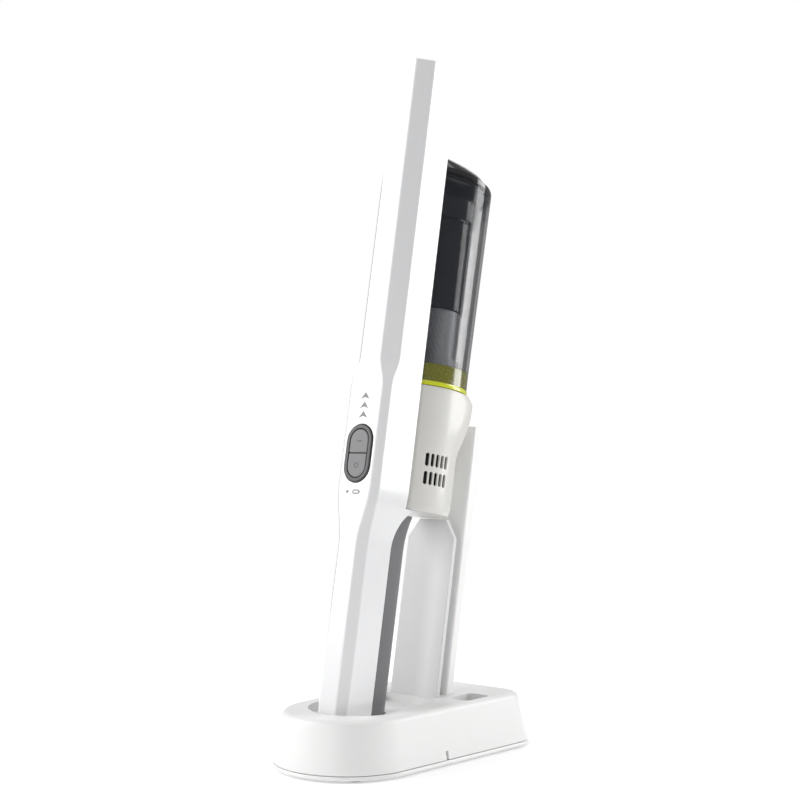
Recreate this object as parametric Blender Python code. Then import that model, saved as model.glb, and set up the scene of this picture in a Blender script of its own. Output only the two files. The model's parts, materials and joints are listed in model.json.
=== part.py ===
"""Slim cordless hand vacuum standing nozzle-up in its charging dock.

Units are metres, +Z is up, the button side faces -Y. The vacuum and the stored crevice
tool are modelled in a leaning frame: x across, y back from the front face, z up from the
bottom end of the handle.
"""

import math

import bmesh
import bpy
from mathutils import Matrix, Vector

# Clearances
GAP = 0.0003            # between pieces that touch
SOCKET_PLAY = 0.0008    # around whatever stands in the dock
SLIDE_PLAY = 0.0004     # around a button in its frame

# Dock
DOCK_LENGTH = 0.172
DOCK_WIDTH = 0.104         # at the rear, where it is widest
DOCK_NOSE_RADIUS = 0.046
DOCK_HEIGHT = 0.033
DOCK_DRAFT = 0.0055     # how far the top outline stands in from the bottom one
DOCK_REAR_RADIUS = 0.018
DOCK_TOP_FILLET = 0.004
DOCK_WALL = 0.0025
DOCK_ROOF = 0.0085      # roof thickness, which holds the basin
BASE_PLATE_THICKNESS = 0.0025
FOOT_RADIUS = 0.006
FOOT_HEIGHT = 0.0012
BASIN_DEPTH = 0.005
BASIN_RADIUS = 0.030
BASIN_FRONT_MARGIN = 0.0237  # from the dock's front to the basin
BASIN_REAR_MARGIN = 0.003    # beside the support plate
NOTCH_WIDTH = 0.0018
NOTCH_HEIGHT = 0.008
NOTCH_DEPTH = 0.00875
NOTCH_FROM_REAR = 0.0896
SPARE_SOCKET_WIDTH = 0.016
SPARE_SOCKET_LENGTH = 0.024
SPARE_SOCKET_DEPTH = 0.016
SPARE_SOCKET_CORNER = 0.004
SPARE_SOCKET_X = 0.0315
SPARE_SOCKET_FROM_REAR = 0.0486
SCREW_HEAD_RADIUS = 0.0032
SCREW_RADIUS = 0.0015
SCREW_LENGTH = 0.010
SCREW_BOSS_WALL = 0.0015
FRONT_SCREW_INSETS = (0.018, 0.034)   # from the dock's side and from its front
REAR_SCREW_INSETS = (0.016, 0.013)    # from the dock's side and from its rear
FRONT_FOOT_INSETS = (0.026, 0.022)
REAR_FOOT_INSETS = (0.026, 0.020)
BASE_PLATE_EDGE = 0.0008    # rounding round the base plate
SCREW_RECESS = 0.0016    # depth of the counterbores under the base plate
FOOT_RECESS = 0.0008     # how far the feet sink into the base plate
PLUG_BORE_RADIUS = 0.003
POWER_SOCKET_WIDTH = 0.009
POWER_SOCKET_LENGTH = 0.012
POWER_SOCKET_RISE = 0.004    # underside of the power socket above the shell's foot
WEIGHT_WIDTH = 0.012
WEIGHT_LENGTH = 0.046
WEIGHT_HEIGHT = 0.012
WEIGHT_MIDDLE_Y = -0.015
WEIGHT_MARGIN = 0.0175   # from the dock's side to a weight
WEIGHT_CORNER = 0.002

# How the vacuum stands
LEAN = math.radians(10.5)
HANDLE_TO_DOCK_FRONT = 0.0228   # bottom front edge of the handle, behind the dock's front
INSERTION = 0.018               # handle below the dock's top, along its front face

# Support plate and crevice tool, both behind the handle
PLATE_FRONT_Y = 0.079
PLATE_THICKNESS = 0.0035
PLATE_WIDTH = 0.0375
PLATE_CORNER_HEIGHT = 0.012
PLATE_CORNER_WIDTH = 0.008
PLATE_FOOT_Z = 0.021
TOOL_FRONT_Y = 0.091
TOOL_THICKNESS = 0.0085
TOOL_WIDTH = 0.0334
TOOL_WALL = 0.0015
TOOL_EDGE_RADIUS = 0.0022
TOOL_EDGE_LEAST = 0.0008     # smallest radius inside its thin tip
TOOL_FOOT_Z = 0.014
TOOL_LENGTH = 0.194
TOOL_SLANT_LENGTH = 0.034
TOOL_TIP_THICKNESS = 0.0045

# Spine: one long bar, nozzle at the top and handle at the bottom
VACUUM_LENGTH = 0.429
SHELL_WALL = 0.002
HANDLE_WIDTH = 0.0236
HANDLE_CHAMFER = 0.0052
HANDLE_DEPTH = 0.046
PARTING_Y = 0.027       # where the white front shell meets the grip
HANDLE_TOP_Z = 0.119
POD_BOTTOM_Z = 0.154
POD_TOP_Z = 0.217
POD_BLEND = 0.018
POD_CHAMFER = 0.004
BAR_WIDTH = 0.033
BAR_CHAMFER = 0.0085
BAR_DEPTH = 0.032
MOUTH_SLOPE = 0.40      # fall of the mouth's rim for each metre back
ARCH_REACH = 0.017      # how far the side walls sweep back under the motor housing
END_CAP_HEIGHT = 0.0025
EDGE_ROUND = 0.0022     # radius along both edges of the front chamfers
GRIP_CLEARANCE = 0.004  # between the grip's top and the motor housing
GRIP_SCREW_HEIGHTS = (0.030, 0.100)
GRIP_SCREW_HEAD_RADIUS = 0.0026
GRIP_SCREW_RADIUS = 0.0013
GRIP_SCREW_RECESS = 0.0012
GRIP_SCREW_LENGTH = 0.0098

# Buttons
BEZEL_WIDTH = 0.0205
BEZEL_HEIGHT = 0.036
BEZEL_RIM = 0.0027
BEZEL_PROUD = 0.0008
BEZEL_EDGE = 0.0006      # width of the sloping edge round the bezel
BUTTON_CENTRE_Z = 0.174
BUTTON_THICKNESS = 0.003
BUTTON_TRAVEL = 0.0012
SWITCH_HEIGHT = 0.0018
SWITCH_WIDTH = 0.006
BUTTON_SPACING = 0.016       # between the middles of the two buttons
BEZEL_FLANGE = 0.0015
BEZEL_FLANGE_THICKNESS = 0.0008
BOARD_THICKNESS = 0.0014
BOARD_WIDTH = 0.021
BOARD_LENGTH = 0.062
BOARD_TRIM = 0.008       # how much shorter the board is below the buttons

# Power pack and charging contacts
CELL_RADIUS = 0.0092
CELL_LENGTH = 0.064
CELL_CENTRE_Y = 0.024
CELL_FOOT = 0.003        # space under the lower cell
CONTACT_SPACING = 0.010
CONTACT_WIDTH = 0.004
PIN_RADIUS = 0.0012
PIN_HOLDER_THICKNESS = 0.0025

# Motor housing
HOUSING_WALL = 0.002
HOUSING_BOTTOM_Z = 0.1452
HOUSING_HEIGHT = 0.0788
HOUSING_RADIUS = 0.024
HOUSING_TOP_RADIUS = 0.0255
HOUSING_FLOOR = 0.003
HOUSING_FOOT_INSET = 0.0012
HOUSING_LIP = 0.0275     # reach of the flared lip behind the centre
VENT_ROWS = 2
VENT_COLUMNS = 5
VENT_WIDTH = 0.0025
VENT_HEIGHT = 0.0085
VENT_ROW_PITCH = 0.0115
VENT_MIDDLE_Z = 0.172
VENT_FIRST_ANGLE = 53.0
VENT_PITCH_ANGLE = 8.6
MOTOR_RADIUS = 0.0165
MOTOR_LENGTH = 0.036
MOTOR_RISE = 0.012       # of the motor above the housing's bottom
MOTOR_FOOT = (0.006, 0.003)    # radius and height of the bearing boss below
MOTOR_NECK = (0.007, 0.002)    # radius and height of the bearing boss above
SHAFT_RADIUS = 0.0016
IMPELLER_RADIUS = 0.019
IMPELLER_HEIGHT = 0.009
IMPELLER_BLADES = 7
IMPELLER_HUB_RADIUS = 0.005
IMPELLER_PLATE = 0.0012
IMPELLER_RISE = 0.004    # of the impeller above the motor
SHAFT_PROUD = 0.016
MOUNT_RING_HEIGHT = 0.006
MOUNT_RING_DROP = 0.004  # of the ring below the motor's top
SHAFT_DEPTH = 0.010      # of the shaft inside the motor
RELEASE_WIDTH = 0.012
RELEASE_HEIGHT = 0.010
RELEASE_DEPTH = 0.005
RELEASE_PROUD = 0.0006
RELEASE_DROP = 0.013     # of the release button's middle below the housing's top

# Dust cup and what is in it
CUP_CENTRE_Y = 0.057
CUP_RADIUS = 0.028
CUP_FOOT_RADIUS = 0.026
CUP_WALL = 0.0018
CUP_FRONT_GAP = 0.0006
COLLAR_HEIGHT = 0.014
COLLAR_WALL = 0.003
COLLAR_BEAD = 0.0004
BEAD_HEIGHT = 0.002
LEDGE_REACH = 0.004      # of the collar's ledge inside the core's radius
LEDGE_THICKNESS = 0.0018
CUP_FRONT_HEIGHT = 0.125
CUP_TOP_SLOPE = 0.19     # fall of the cup's rim for each metre back
CORE_RADIUS = 0.018
MESH_RADIUS = 0.017
MESH_HEIGHT = 0.033
CORE_WALL = 0.0015
CORE_FOOT = (0.001, 0.006)   # reach and height of the flange under the mesh
CORE_SEAT = 0.005        # between the mesh's height and the core's bottom
HOOD_HEIGHT = 0.013
HOOD_WALL = 0.0015
HOOD_CLEARANCE = 0.003   # from the cup's front wall to the hood
FLAP_THICKNESS = 0.001
FLAP_MARGIN = 0.001      # between the flap and the port's edges
FLAP_PIN_DROP = 0.0016   # of the flap's axis below the hood's top
PORT_WIDTH = 0.018
PORT_HEIGHT = 0.011
PORT_DROP = 0.019        # of the port's middle below the cup's front rim
FILTER_RADIUS = 0.0185
FILTER_HEIGHT = 0.010
FILTER_PLEATS = 24
PLEAT_DEPTH = 0.0022
FILTER_BORE_RADIUS = 0.008
DUCT_WALL = 0.0012
DUCT_SILL = 0.003        # duct below the port
DUCT_RECESS = 0.002      # duct below the mouth's rim
DOOR_SKIRT = 0.0035
DOOR_RISE = 0.011
DOOR_SIDE_INSET = 0.013
DOOR_FRONT_INSET = 0.003
DOOR_FLAT = 0.026
HINGE_RADIUS = 0.0022
HINGE_PIN_RADIUS = 0.0009
HINGE_RISE = 0.0025      # pin above the rim's rear end
HINGE_FOOT = (0.0028, 0.009)   # of an ear's foot, before the pin and below it
HINGE_NECK = (0.0007, 0.005)   # of an ear's neck, before the pin and below it
HINGE_BACK = 0.001
HINGE_WEB = (0.004, 0.0002)    # reach of the door's web before the pin, and its rise
HINGE_WIDTH = 0.012
HINGE_EAR_WIDTH = 0.004
LATCH_WIDTH = 0.012
LATCH_DEPTH = 0.008
LATCH_HEIGHT = 0.007
LATCH_PROUD = 0.0015
LATCH_MARGIN = 0.004     # from the door's front edge to the latch
LATCH_TRAVEL = 0.002
SEAL_THICKNESS = 0.0012
SEAL_WIDTH = 0.002

CUTTER_REACH = 0.01      # how far a cutter runs past the face that it opens
ROUND_STEPS = 56
FLAT_SHARE = 0.87       # how far round its nose a D section is cut flat
BLEND_STEPS = 7

# Places worked out from the sizes above
ORIGIN_TO_AXIS_Y = -DOCK_LENGTH / 2 + HANDLE_TO_DOCK_FRONT
AXIS_FOOT_Z = DOCK_HEIGHT + FOOT_HEIGHT - INSERTION * math.cos(LEAN)
HOUSING_TOP_Z = HOUSING_BOTTOM_Z + HOUSING_HEIGHT
COLLAR_Z = HOUSING_TOP_Z + GAP
CUP_Z = COLLAR_Z + COLLAR_HEIGHT + GAP
CUP_TOP_Z = CUP_Z + CUP_FRONT_HEIGHT
CUP_FLAT_Y = BAR_DEPTH + CUP_FRONT_GAP
CORE_Z = CUP_Z + MESH_HEIGHT + CORE_SEAT
PORT_Z = CUP_TOP_Z - PORT_DROP
DOCK_TOP_Z = DOCK_HEIGHT + FOOT_HEIGHT
SHELL_FOOT_Z = FOOT_HEIGHT + BASE_PLATE_THICKNESS + GAP
PLATE_TOP_Z = HOUSING_BOTTOM_Z - GAP
HINGE_Y = CUP_CENTRE_Y + CUP_RADIUS + HINGE_BACK

FINISHES = {
    "white_gloss": ((0.87, 0.87, 0.88), 0.25, 0.0),
    "white_satin": ((0.84, 0.84, 0.83), 0.40, 0.0),
    "ivory_satin": ((0.78, 0.77, 0.74), 0.38, 0.0),
    "light_grey": ((0.66, 0.66, 0.66), 0.45, 0.0),
    "grip_grey": ((0.16, 0.16, 0.17), 0.65, 0.0),
    "bezel_grey": ((0.10, 0.10, 0.11), 0.45, 0.0),
    "button_grey": ((0.32, 0.32, 0.33), 0.50, 0.0),
    "smoked_clear": ((0.10, 0.11, 0.13), 0.08, 0.0),
    "black_plastic": ((0.02, 0.02, 0.022), 0.35, 0.0),
    "yellow_clear": ((0.80, 0.85, 0.05), 0.15, 0.0),
    "steel": ((0.60, 0.60, 0.62), 0.30, 1.0),
    "gold": ((0.85, 0.65, 0.30), 0.30, 1.0),
    "filter_fabric": ((0.90, 0.90, 0.87), 0.90, 0.0),
    "rubber": ((0.03, 0.03, 0.03), 0.80, 0.0),
    "board_green": ((0.03, 0.20, 0.09), 0.50, 0.0),
    "cell_wrap": ((0.05, 0.22, 0.48), 0.40, 0.0),
}


# ---------------------------------------------------------------- outlines

def arc(centre_x, centre_y, radius, start, end, steps):
    """Points on an arc between two angles in degrees, both ends included."""
    angles = [math.radians(start + (end - start) * i / steps) for i in range(steps + 1)]
    return [(centre_x + radius * math.cos(a), centre_y + radius * math.sin(a)) for a in angles]


def circle(radius, centre=(0.0, 0.0), steps=ROUND_STEPS):
    """A full circle without a repeated last point."""
    return arc(centre[0], centre[1], radius, 0, 360, steps)[:-1]


def rounded_rectangle(width, length, radius, centre=(0.0, 0.0), steps=6):
    """A rectangle with round corners."""
    x, y = width / 2 - radius, length / 2 - radius
    points = []
    for i, (sx, sy) in enumerate(((1, 1), (-1, 1), (-1, -1), (1, -1))):
        points += arc(centre[0] + sx * x, centre[1] + sy * y, radius, 90 * i, 90 * i + 90, steps)
    return points


def d_outline(radius, flat_y, rear=None, square=2.0, steps=ROUND_STEPS):
    """A round about the cup's centre, cut flat at flat_y, its rear half pulled out to rear."""
    to_flat = CUP_CENTRE_Y - flat_y
    nose = max(radius, to_flat / FLAT_SHARE)
    start = math.degrees(math.asin(-to_flat / nose))
    reach = rear or radius
    points = []
    for x, y in arc(0, 0, 1.0, start, 180 - start, steps):
        if y > 0:
            power = 2 / square
            side = math.copysign(radius * abs(x) ** power, x)
            points.append((side, CUP_CENTRE_Y + reach * y ** power))
        else:
            points.append((radius * x, CUP_CENTRE_Y + nose * y))
    return points


def bore_outline(radius, steps=ROUND_STEPS):
    """A full round about the cup's centre with as many points as a d_outline."""
    half_step = 180 / (steps + 1)
    return arc(0, CUP_CENTRE_Y, radius, half_step - 90, 270 - half_step, steps)


def dock_outline(inset, steps=20):
    """The dock's outline: a round nose, sides that widen to the rear, round rear corners."""
    nose = DOCK_NOSE_RADIUS - inset
    corner = DOCK_REAR_RADIUS - inset / 2
    front = DOCK_NOSE_RADIUS - DOCK_LENGTH / 2
    side = DOCK_WIDTH / 2 - inset - corner
    rear = DOCK_LENGTH / 2 - inset - corner
    span = math.hypot(side, rear - front)
    turn = math.degrees(math.atan2(rear - front, side) - math.acos((nose - corner) / span))
    points = arc(0, front, nose, 180 - turn, 360 + turn, 2 * steps)
    points += arc(side, rear, corner, turn, 90, steps // 2)
    points += arc(-side, rear, corner, 90, 180 - turn, steps // 2)
    return points


def smooth(t):
    """Eases from 0 to 1."""
    t = min(max(t, 0.0), 1.0)
    return t * t * (3 - 2 * t)


def spine_sizes(z):
    """Half width, chamfer and side depth of the spine at height z."""
    lower = smooth((z - HANDLE_TOP_Z) / (POD_BOTTOM_Z - HANDLE_TOP_Z))
    upper = smooth((z - POD_TOP_Z) / POD_BLEND)
    half = HANDLE_WIDTH / 2 + (BAR_WIDTH - HANDLE_WIDTH) / 2 * lower
    chamfer = HANDLE_CHAMFER + (POD_CHAMFER - HANDLE_CHAMFER) * lower
    chamfer += (BAR_CHAMFER - POD_CHAMFER) * upper
    return half, chamfer, parting_depth(z)


def parting_depth(z):
    """How far back the side walls reach: they sweep rearwards in an arch at the grip's top."""
    arch_top = HOUSING_BOTTOM_Z - 2 * GAP
    if z > arch_top + GAP / 2:
        return BAR_DEPTH
    t = min(max((z - HANDLE_TOP_Z) / (arch_top - HANDLE_TOP_Z), 0.0), 1.0)
    return PARTING_Y + ARCH_REACH * (1 - math.sqrt(1 - t * t))


def round_corner(before, corner, after, radius, steps=3):
    """An arc in place of the corner between two straight runs."""
    corner = Vector(corner)
    back, ahead = (Vector(before) - corner).normalized(), (Vector(after) - corner).normalized()
    half_angle = back.angle(ahead) / 2
    centre = corner + (back + ahead).normalized() * radius / math.sin(half_angle)
    reach = radius / math.tan(half_angle)
    start, end = corner + back * reach - centre, corner + ahead * reach - centre
    spokes = [start.lerp(end, i / steps).normalized() * radius for i in range(steps + 1)]
    return [tuple(centre + spoke) for spoke in spokes]


def chamfered_front(half, chamfer, depth, offset=0.0):
    """Right half of the spine's front: flat face, rounded chamfer and side back to depth."""
    nose, shoulder, rear = (half - chamfer, -offset), (half, chamfer - offset), (half, depth)
    radius = EDGE_ROUND + offset
    points = round_corner((0, -offset), nose, shoulder, radius)
    return points + round_corner(nose, shoulder, rear, radius) + [rear]


def channel_outline(half, chamfer, depth, wall):
    """A U-channel open to the rear, with chamfered front corners."""
    turn = wall * math.tan(math.pi / 8)
    right = chamfered_front(half, chamfer, depth) + [(half - wall, depth)]
    right += [(half - wall, chamfer + turn), (half - chamfer - turn, wall)]
    return right + [(-x, y) for x, y in reversed(right)]


def handle_outline(offset=0.0, steps=12):
    """The whole section of the handle: chamfered front, rounded rear."""
    half = HANDLE_WIDTH / 2 + offset
    right = chamfered_front(half, HANDLE_CHAMFER, PARTING_Y, offset)
    right += grip_curve(half, PARTING_Y, HANDLE_DEPTH + offset, steps)[1:]
    return right + [(-x, y) for x, y in reversed(right)]


def grip_curve(half, start, end, steps):
    """Half of the grip's rounded rear, from its side to just off its middle."""
    points = []
    for i in range(steps):
        angle = math.radians(90 * i / steps)
        points.append((half * math.cos(angle) ** 0.72, start + (end - start) * math.sin(angle) ** 0.72))
    return points


def stadium(width, height, centre_z, steps=14):
    """An upright slot shape in the x-z plane."""
    radius, straight = width / 2, (height - width) / 2
    points = arc(0, centre_z + straight, radius, 0, 180, steps)
    return points + arc(0, centre_z - straight, radius, 180, 360, steps)


# ---------------------------------------------------------------- solids

def level(outline, z):
    """Lifts an outline to height z, which may be a function of x and y."""
    return [(x, y, z(x, y) if callable(z) else z) for x, y in outline]


def upright(outline, y):
    """Stands an outline drawn in x and z up at depth y."""
    return [(x, y, z) for x, z in outline]


def loft(rings, closed=False):
    """A solid through rings of equal length. A closed loft joins its last ring to its first."""
    shape = bmesh.new()
    loops = [[shape.verts.new(point) for point in ring] for ring in rings]
    following = loops[1:] + ([loops[0]] if closed else [])
    for lower, upper in zip(loops, following):
        for i, vertex in enumerate(lower):
            j = (i + 1) % len(lower)
            shape.faces.new((vertex, lower[j], upper[j], upper[i]))
    if not closed:
        shape.faces.new(loops[0])
        shape.faces.new(loops[-1])
    bmesh.ops.recalc_face_normals(shape, faces=shape.faces)
    return shape


def prism(outline, bottom, top):
    """A straight-sided solid between two heights."""
    return loft([level(outline, bottom), level(outline, top)])


def sleeve(outer, inner, bottom, top):
    """A straight tube between two heights."""
    rings = [level(outer, bottom), level(outer, top), level(inner, top), level(inner, bottom)]
    return loft(rings, closed=True)


def block(low, high):
    """A plain box between two corners."""
    outline = [(low[0], low[1]), (high[0], low[1]), (high[0], high[1]), (low[0], high[1])]
    return prism(outline, low[2], high[2])


def rod(radius, low, high, steps=16):
    """A cylinder between two points."""
    low, high = Vector(low), Vector(high)
    shape = prism(circle(radius, steps=steps), 0, (high - low).length)
    turn = Vector((0, 0, 1)).rotation_difference(high - low).to_matrix().to_4x4()
    shape.transform(Matrix.Translation(low) @ turn)
    return shape


def merge(shapes):
    """Several closed shapes in one mesh, for a cutter whose parts don't meet."""
    whole = bpy.data.meshes.new("merged")
    result = bmesh.new()
    for shape in shapes:
        shape.to_mesh(whole)
        result.from_mesh(whole)
        shape.free()
    bpy.data.meshes.remove(whole)
    return result


# ---------------------------------------------------------------- objects

def clear_scene():
    """Removes everything the file opened with."""
    for obj in list(bpy.data.objects):
        bpy.data.objects.remove(obj, do_unlink=True)


def finish_material(name):
    """The Principled material of one finish, made once."""
    if name in bpy.data.materials:
        return bpy.data.materials[name]
    colour, roughness, metallic = FINISHES[name]
    material = bpy.data.materials.new(name)
    material.use_nodes = True
    shader = material.node_tree.nodes["Principled BSDF"]
    shader.inputs["Base Color"].default_value = (*colour, 1.0)
    shader.inputs["Roughness"].default_value = roughness
    shader.inputs["Metallic"].default_value = metallic
    material.diffuse_color = (*colour, 1.0)
    return material


def add_empty(name, parent=None, location=(0, 0, 0), lean=0.0):
    """A frame that other pieces hang from."""
    empty = bpy.data.objects.new(name, None)
    bpy.context.scene.collection.objects.link(empty)
    empty.parent = parent
    empty.location = location
    empty.rotation_euler = (lean, 0, 0)
    return empty


def add_piece(name, shape, finish, parent, origin=(0, 0, 0)):
    """Turns a bmesh into a named object whose origin is at the given point of its parent."""
    shape.transform(Matrix.Translation(-Vector(origin)))
    mesh = bpy.data.meshes.new(name)
    shape.to_mesh(mesh)
    shape.free()
    mesh.shade_smooth()
    mesh.set_sharp_from_angle(angle=math.radians(30))
    piece = bpy.data.objects.new(name, mesh)
    bpy.context.scene.collection.objects.link(piece)
    piece.parent = parent
    piece.location = origin
    if finish:
        mesh.materials.append(finish_material(finish))
    return piece


def change(piece, shape, operation="DIFFERENCE", parent=None):
    """Cuts a helper shape from a piece, or joins it on, and returns the helper."""
    helper = add_piece(f"{piece.name}_{operation.lower()}", shape, None, parent or piece.parent)
    helper.hide_render = True
    helper.display_type = "WIRE"
    modifier = piece.modifiers.new(helper.name, "BOOLEAN")
    modifier.operation = operation
    modifier.solver = "EXACT"
    modifier.object = helper
    return helper


# ---------------------------------------------------------------- dock

def tool_outline(offset=0.0, slice_off=0.0):
    """Section of the crevice tool, slice_off thinner at the rear."""
    width = TOOL_WIDTH + 2 * offset
    depth = TOOL_THICKNESS - slice_off + 2 * offset
    middle = TOOL_FRONT_Y - offset + depth / 2
    radius = max(TOOL_EDGE_RADIUS + offset, TOOL_EDGE_LEAST)
    return rounded_rectangle(width, depth, min(radius, 0.45 * depth), (0, middle))


def plate_box(offset, bottom, top):
    """The support plate's straight part as a box, grown by offset."""
    low = (-PLATE_WIDTH / 2 - offset, PLATE_FRONT_Y - offset, bottom)
    high = (PLATE_WIDTH / 2 + offset, PLATE_FRONT_Y + PLATE_THICKNESS + offset, top)
    return block(low, high)


def spare_socket_centre():
    """Middle of the empty socket for a second tool."""
    return (SPARE_SOCKET_X, DOCK_LENGTH / 2 - SPARE_SOCKET_FROM_REAR)


def dock_body():
    """The dock's outer form, with a rounded upper edge."""
    rings = [level(dock_outline(DOCK_DRAFT * SHELL_FOOT_Z / DOCK_TOP_Z), SHELL_FOOT_Z)]
    for i in range(BLEND_STEPS):
        angle = math.radians(90 * i / (BLEND_STEPS - 1))
        inset = DOCK_DRAFT + DOCK_TOP_FILLET * (1 - math.cos(angle))
        z = DOCK_TOP_Z - DOCK_TOP_FILLET * (1 - math.sin(angle))
        rings.append(level(dock_outline(inset), z))
    return loft(rings)


def basin_outline():
    """The shallow basin: round in front, narrowing towards the support plate."""
    front = -DOCK_LENGTH / 2 + BASIN_FRONT_MARGIN
    rear = ORIGIN_TO_AXIS_Y + (PLATE_FRONT_Y - GAP) * math.cos(LEAN) + INSERTION * math.sin(LEAN)
    rear_half = PLATE_WIDTH / 2 + BASIN_REAR_MARGIN
    nose = arc(0, front + BASIN_RADIUS, BASIN_RADIUS, 190, 350, 20)
    return nose + [(rear_half, rear), (-rear_half, rear)]


def make_dock_shell(root, axis):
    """White upper shell with the basin, the handle socket and two tool sockets."""
    shell = add_piece("dock_shell", dock_body(), "white_satin", root)
    roof = DOCK_TOP_Z - DOCK_ROOF
    hollow = prism(dock_outline(DOCK_DRAFT + DOCK_WALL), 0.0, roof)
    cavity = change(shell, hollow)
    pocket = prism(handle_outline(SOCKET_PLAY + DOCK_WALL), -GAP - DOCK_WALL, 2 * DOCK_HEIGHT)
    change(cavity, pocket, parent=axis)
    rear_walls = block(
        (-PLATE_WIDTH / 2 - DOCK_WALL - SOCKET_PLAY, PLATE_FRONT_Y - SOCKET_PLAY - DOCK_WALL,
         TOOL_FOOT_Z - DOCK_WALL - GAP),
        (PLATE_WIDTH / 2 + DOCK_WALL + SOCKET_PLAY,
         TOOL_FRONT_Y + TOOL_THICKNESS + SOCKET_PLAY + DOCK_WALL, 2 * DOCK_HEIGHT))
    change(cavity, rear_walls, parent=axis)
    x, y = spare_socket_centre()
    width = SPARE_SOCKET_WIDTH + 2 * DOCK_WALL
    length = SPARE_SOCKET_LENGTH + 2 * DOCK_WALL
    cup = rounded_rectangle(width, length, SPARE_SOCKET_CORNER + DOCK_WALL, (x, y))
    change(cavity, prism(cup, DOCK_TOP_Z - SPARE_SOCKET_DEPTH - DOCK_WALL, 2 * DOCK_HEIGHT))
    for post in screw_places():
        boss = circle(SCREW_HEAD_RADIUS + SCREW_BOSS_WALL, post, 16)
        change(cavity, prism(boss, SHELL_FOOT_Z, 2 * DOCK_HEIGHT))
    cut_dock_top(shell, axis)
    return shell


def cut_dock_top(shell, axis):
    """Opens the basin and the sockets in the dock's top, and the notch in its side."""
    above = DOCK_TOP_Z + CUTTER_REACH
    change(shell, prism(basin_outline(), DOCK_TOP_Z - BASIN_DEPTH, above))
    change(shell, prism(handle_outline(SOCKET_PLAY), -GAP, 2 * DOCK_HEIGHT), parent=axis)
    change(shell, prism(tool_outline(SOCKET_PLAY), TOOL_FOOT_Z - GAP, 3 * DOCK_HEIGHT), parent=axis)
    change(shell, plate_box(GAP, PLATE_FOOT_Z - GAP, 3 * DOCK_HEIGHT), parent=axis)
    opening = rounded_rectangle(SPARE_SOCKET_WIDTH, SPARE_SOCKET_LENGTH, SPARE_SOCKET_CORNER,
                                spare_socket_centre())
    change(shell, prism(opening, DOCK_TOP_Z - SPARE_SOCKET_DEPTH, above))
    pins = merge([rod(PIN_RADIUS + GAP, (x, CELL_CENTRE_Y, -0.006), (x, CELL_CENTRE_Y, 0.001))
                  for x in contact_places()])
    change(shell, pins, parent=axis)
    for x, y in screw_places():
        change(shell, rod(SCREW_RADIUS + GAP, (x, y, 0.0), (x, y, FOOT_HEIGHT + SCREW_LENGTH + GAP)))
    notch_y = DOCK_LENGTH / 2 - NOTCH_FROM_REAR
    notch = block((DOCK_WIDTH / 2 - NOTCH_DEPTH, notch_y - NOTCH_WIDTH / 2, 0.0),
                  (DOCK_WIDTH / 2 + CUTTER_REACH, notch_y + NOTCH_WIDTH / 2, FOOT_HEIGHT + NOTCH_HEIGHT))
    change(shell, notch)
    change(shell, power_socket_body(GAP))


def four_places(front, rear):
    """Left and right places in front and at the rear, set in from the dock's outer sizes."""
    places = []
    for (from_side, from_end), end in ((front, -1), (rear, 1)):
        for side in (-1, 1):
            places.append((side * (DOCK_WIDTH / 2 - from_side), end * (DOCK_LENGTH / 2 - from_end)))
    return places


def screw_places():
    """Where the base plate is screwed to the shell."""
    return four_places(FRONT_SCREW_INSETS, REAR_SCREW_INSETS)


def foot_places():
    """Middles of the four rubber feet."""
    return four_places(FRONT_FOOT_INSETS, REAR_FOOT_INSETS)


def contact_places():
    """Sideways places of the two charging contacts."""
    return (-CONTACT_SPACING / 2, CONTACT_SPACING / 2)


def power_socket_middle():
    """Height of the power socket's middle."""
    return SHELL_FOOT_Z + POWER_SOCKET_RISE + POWER_SOCKET_WIDTH / 2


def power_socket_body(offset):
    """The barrel socket for the charger lead, in the dock's rear wall. An offset opens its hole."""
    half = POWER_SOCKET_WIDTH / 2 + offset
    rear = DOCK_LENGTH / 2 - GAP
    z = power_socket_middle()
    low = (-half, rear - POWER_SOCKET_LENGTH - offset, z - half)
    return block(low, (half, rear + (CUTTER_REACH if offset else 0.0), z + half))


def make_dock_base(root):
    """Base plate, its screws, the rubber feet and the steel weight."""
    bottom, top = FOOT_HEIGHT, FOOT_HEIGHT + BASE_PLATE_THICKNESS
    rings = [level(dock_outline(BASE_PLATE_EDGE), bottom)]
    rings.append(level(dock_outline(0.0), bottom + BASE_PLATE_EDGE))
    rings.append(level(dock_outline(DOCK_DRAFT * top / DOCK_TOP_Z), top))
    plate = add_piece("dock_base_plate", loft(rings), "white_satin", root)
    for number, (x, y) in enumerate(screw_places(), 1):
        change(plate, rod(SCREW_HEAD_RADIUS + GAP, (x, y, 0.0), (x, y, bottom + SCREW_RECESS)))
        change(plate, rod(SCREW_RADIUS + GAP, (x, y, 0.0), (x, y, 2 * top)))
        add_piece(f"dock_screw_{number}", screw_shape(x, y, bottom), "steel", root)
    for number, (x, y) in enumerate(foot_places(), 1):
        recess = bottom + FOOT_RECESS
        change(plate, rod(FOOT_RADIUS + GAP, (x, y, 0.0), (x, y, recess), 24))
        foot = rod(FOOT_RADIUS, (x, y, 0.0), (x, y, recess - GAP), 24)
        add_piece(f"dock_foot_{number}", foot, "rubber", root)
    for side, name in ((-1, "left"), (1, "right")):
        x = side * (DOCK_WIDTH / 2 - WEIGHT_MARGIN - WEIGHT_WIDTH / 2)
        outline = rounded_rectangle(WEIGHT_WIDTH, WEIGHT_LENGTH, WEIGHT_CORNER, (x, WEIGHT_MIDDLE_Y))
        weight = prism(outline, top + GAP, top + GAP + WEIGHT_HEIGHT)
        add_piece(f"dock_weight_{name}", weight, "steel", root)


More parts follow.
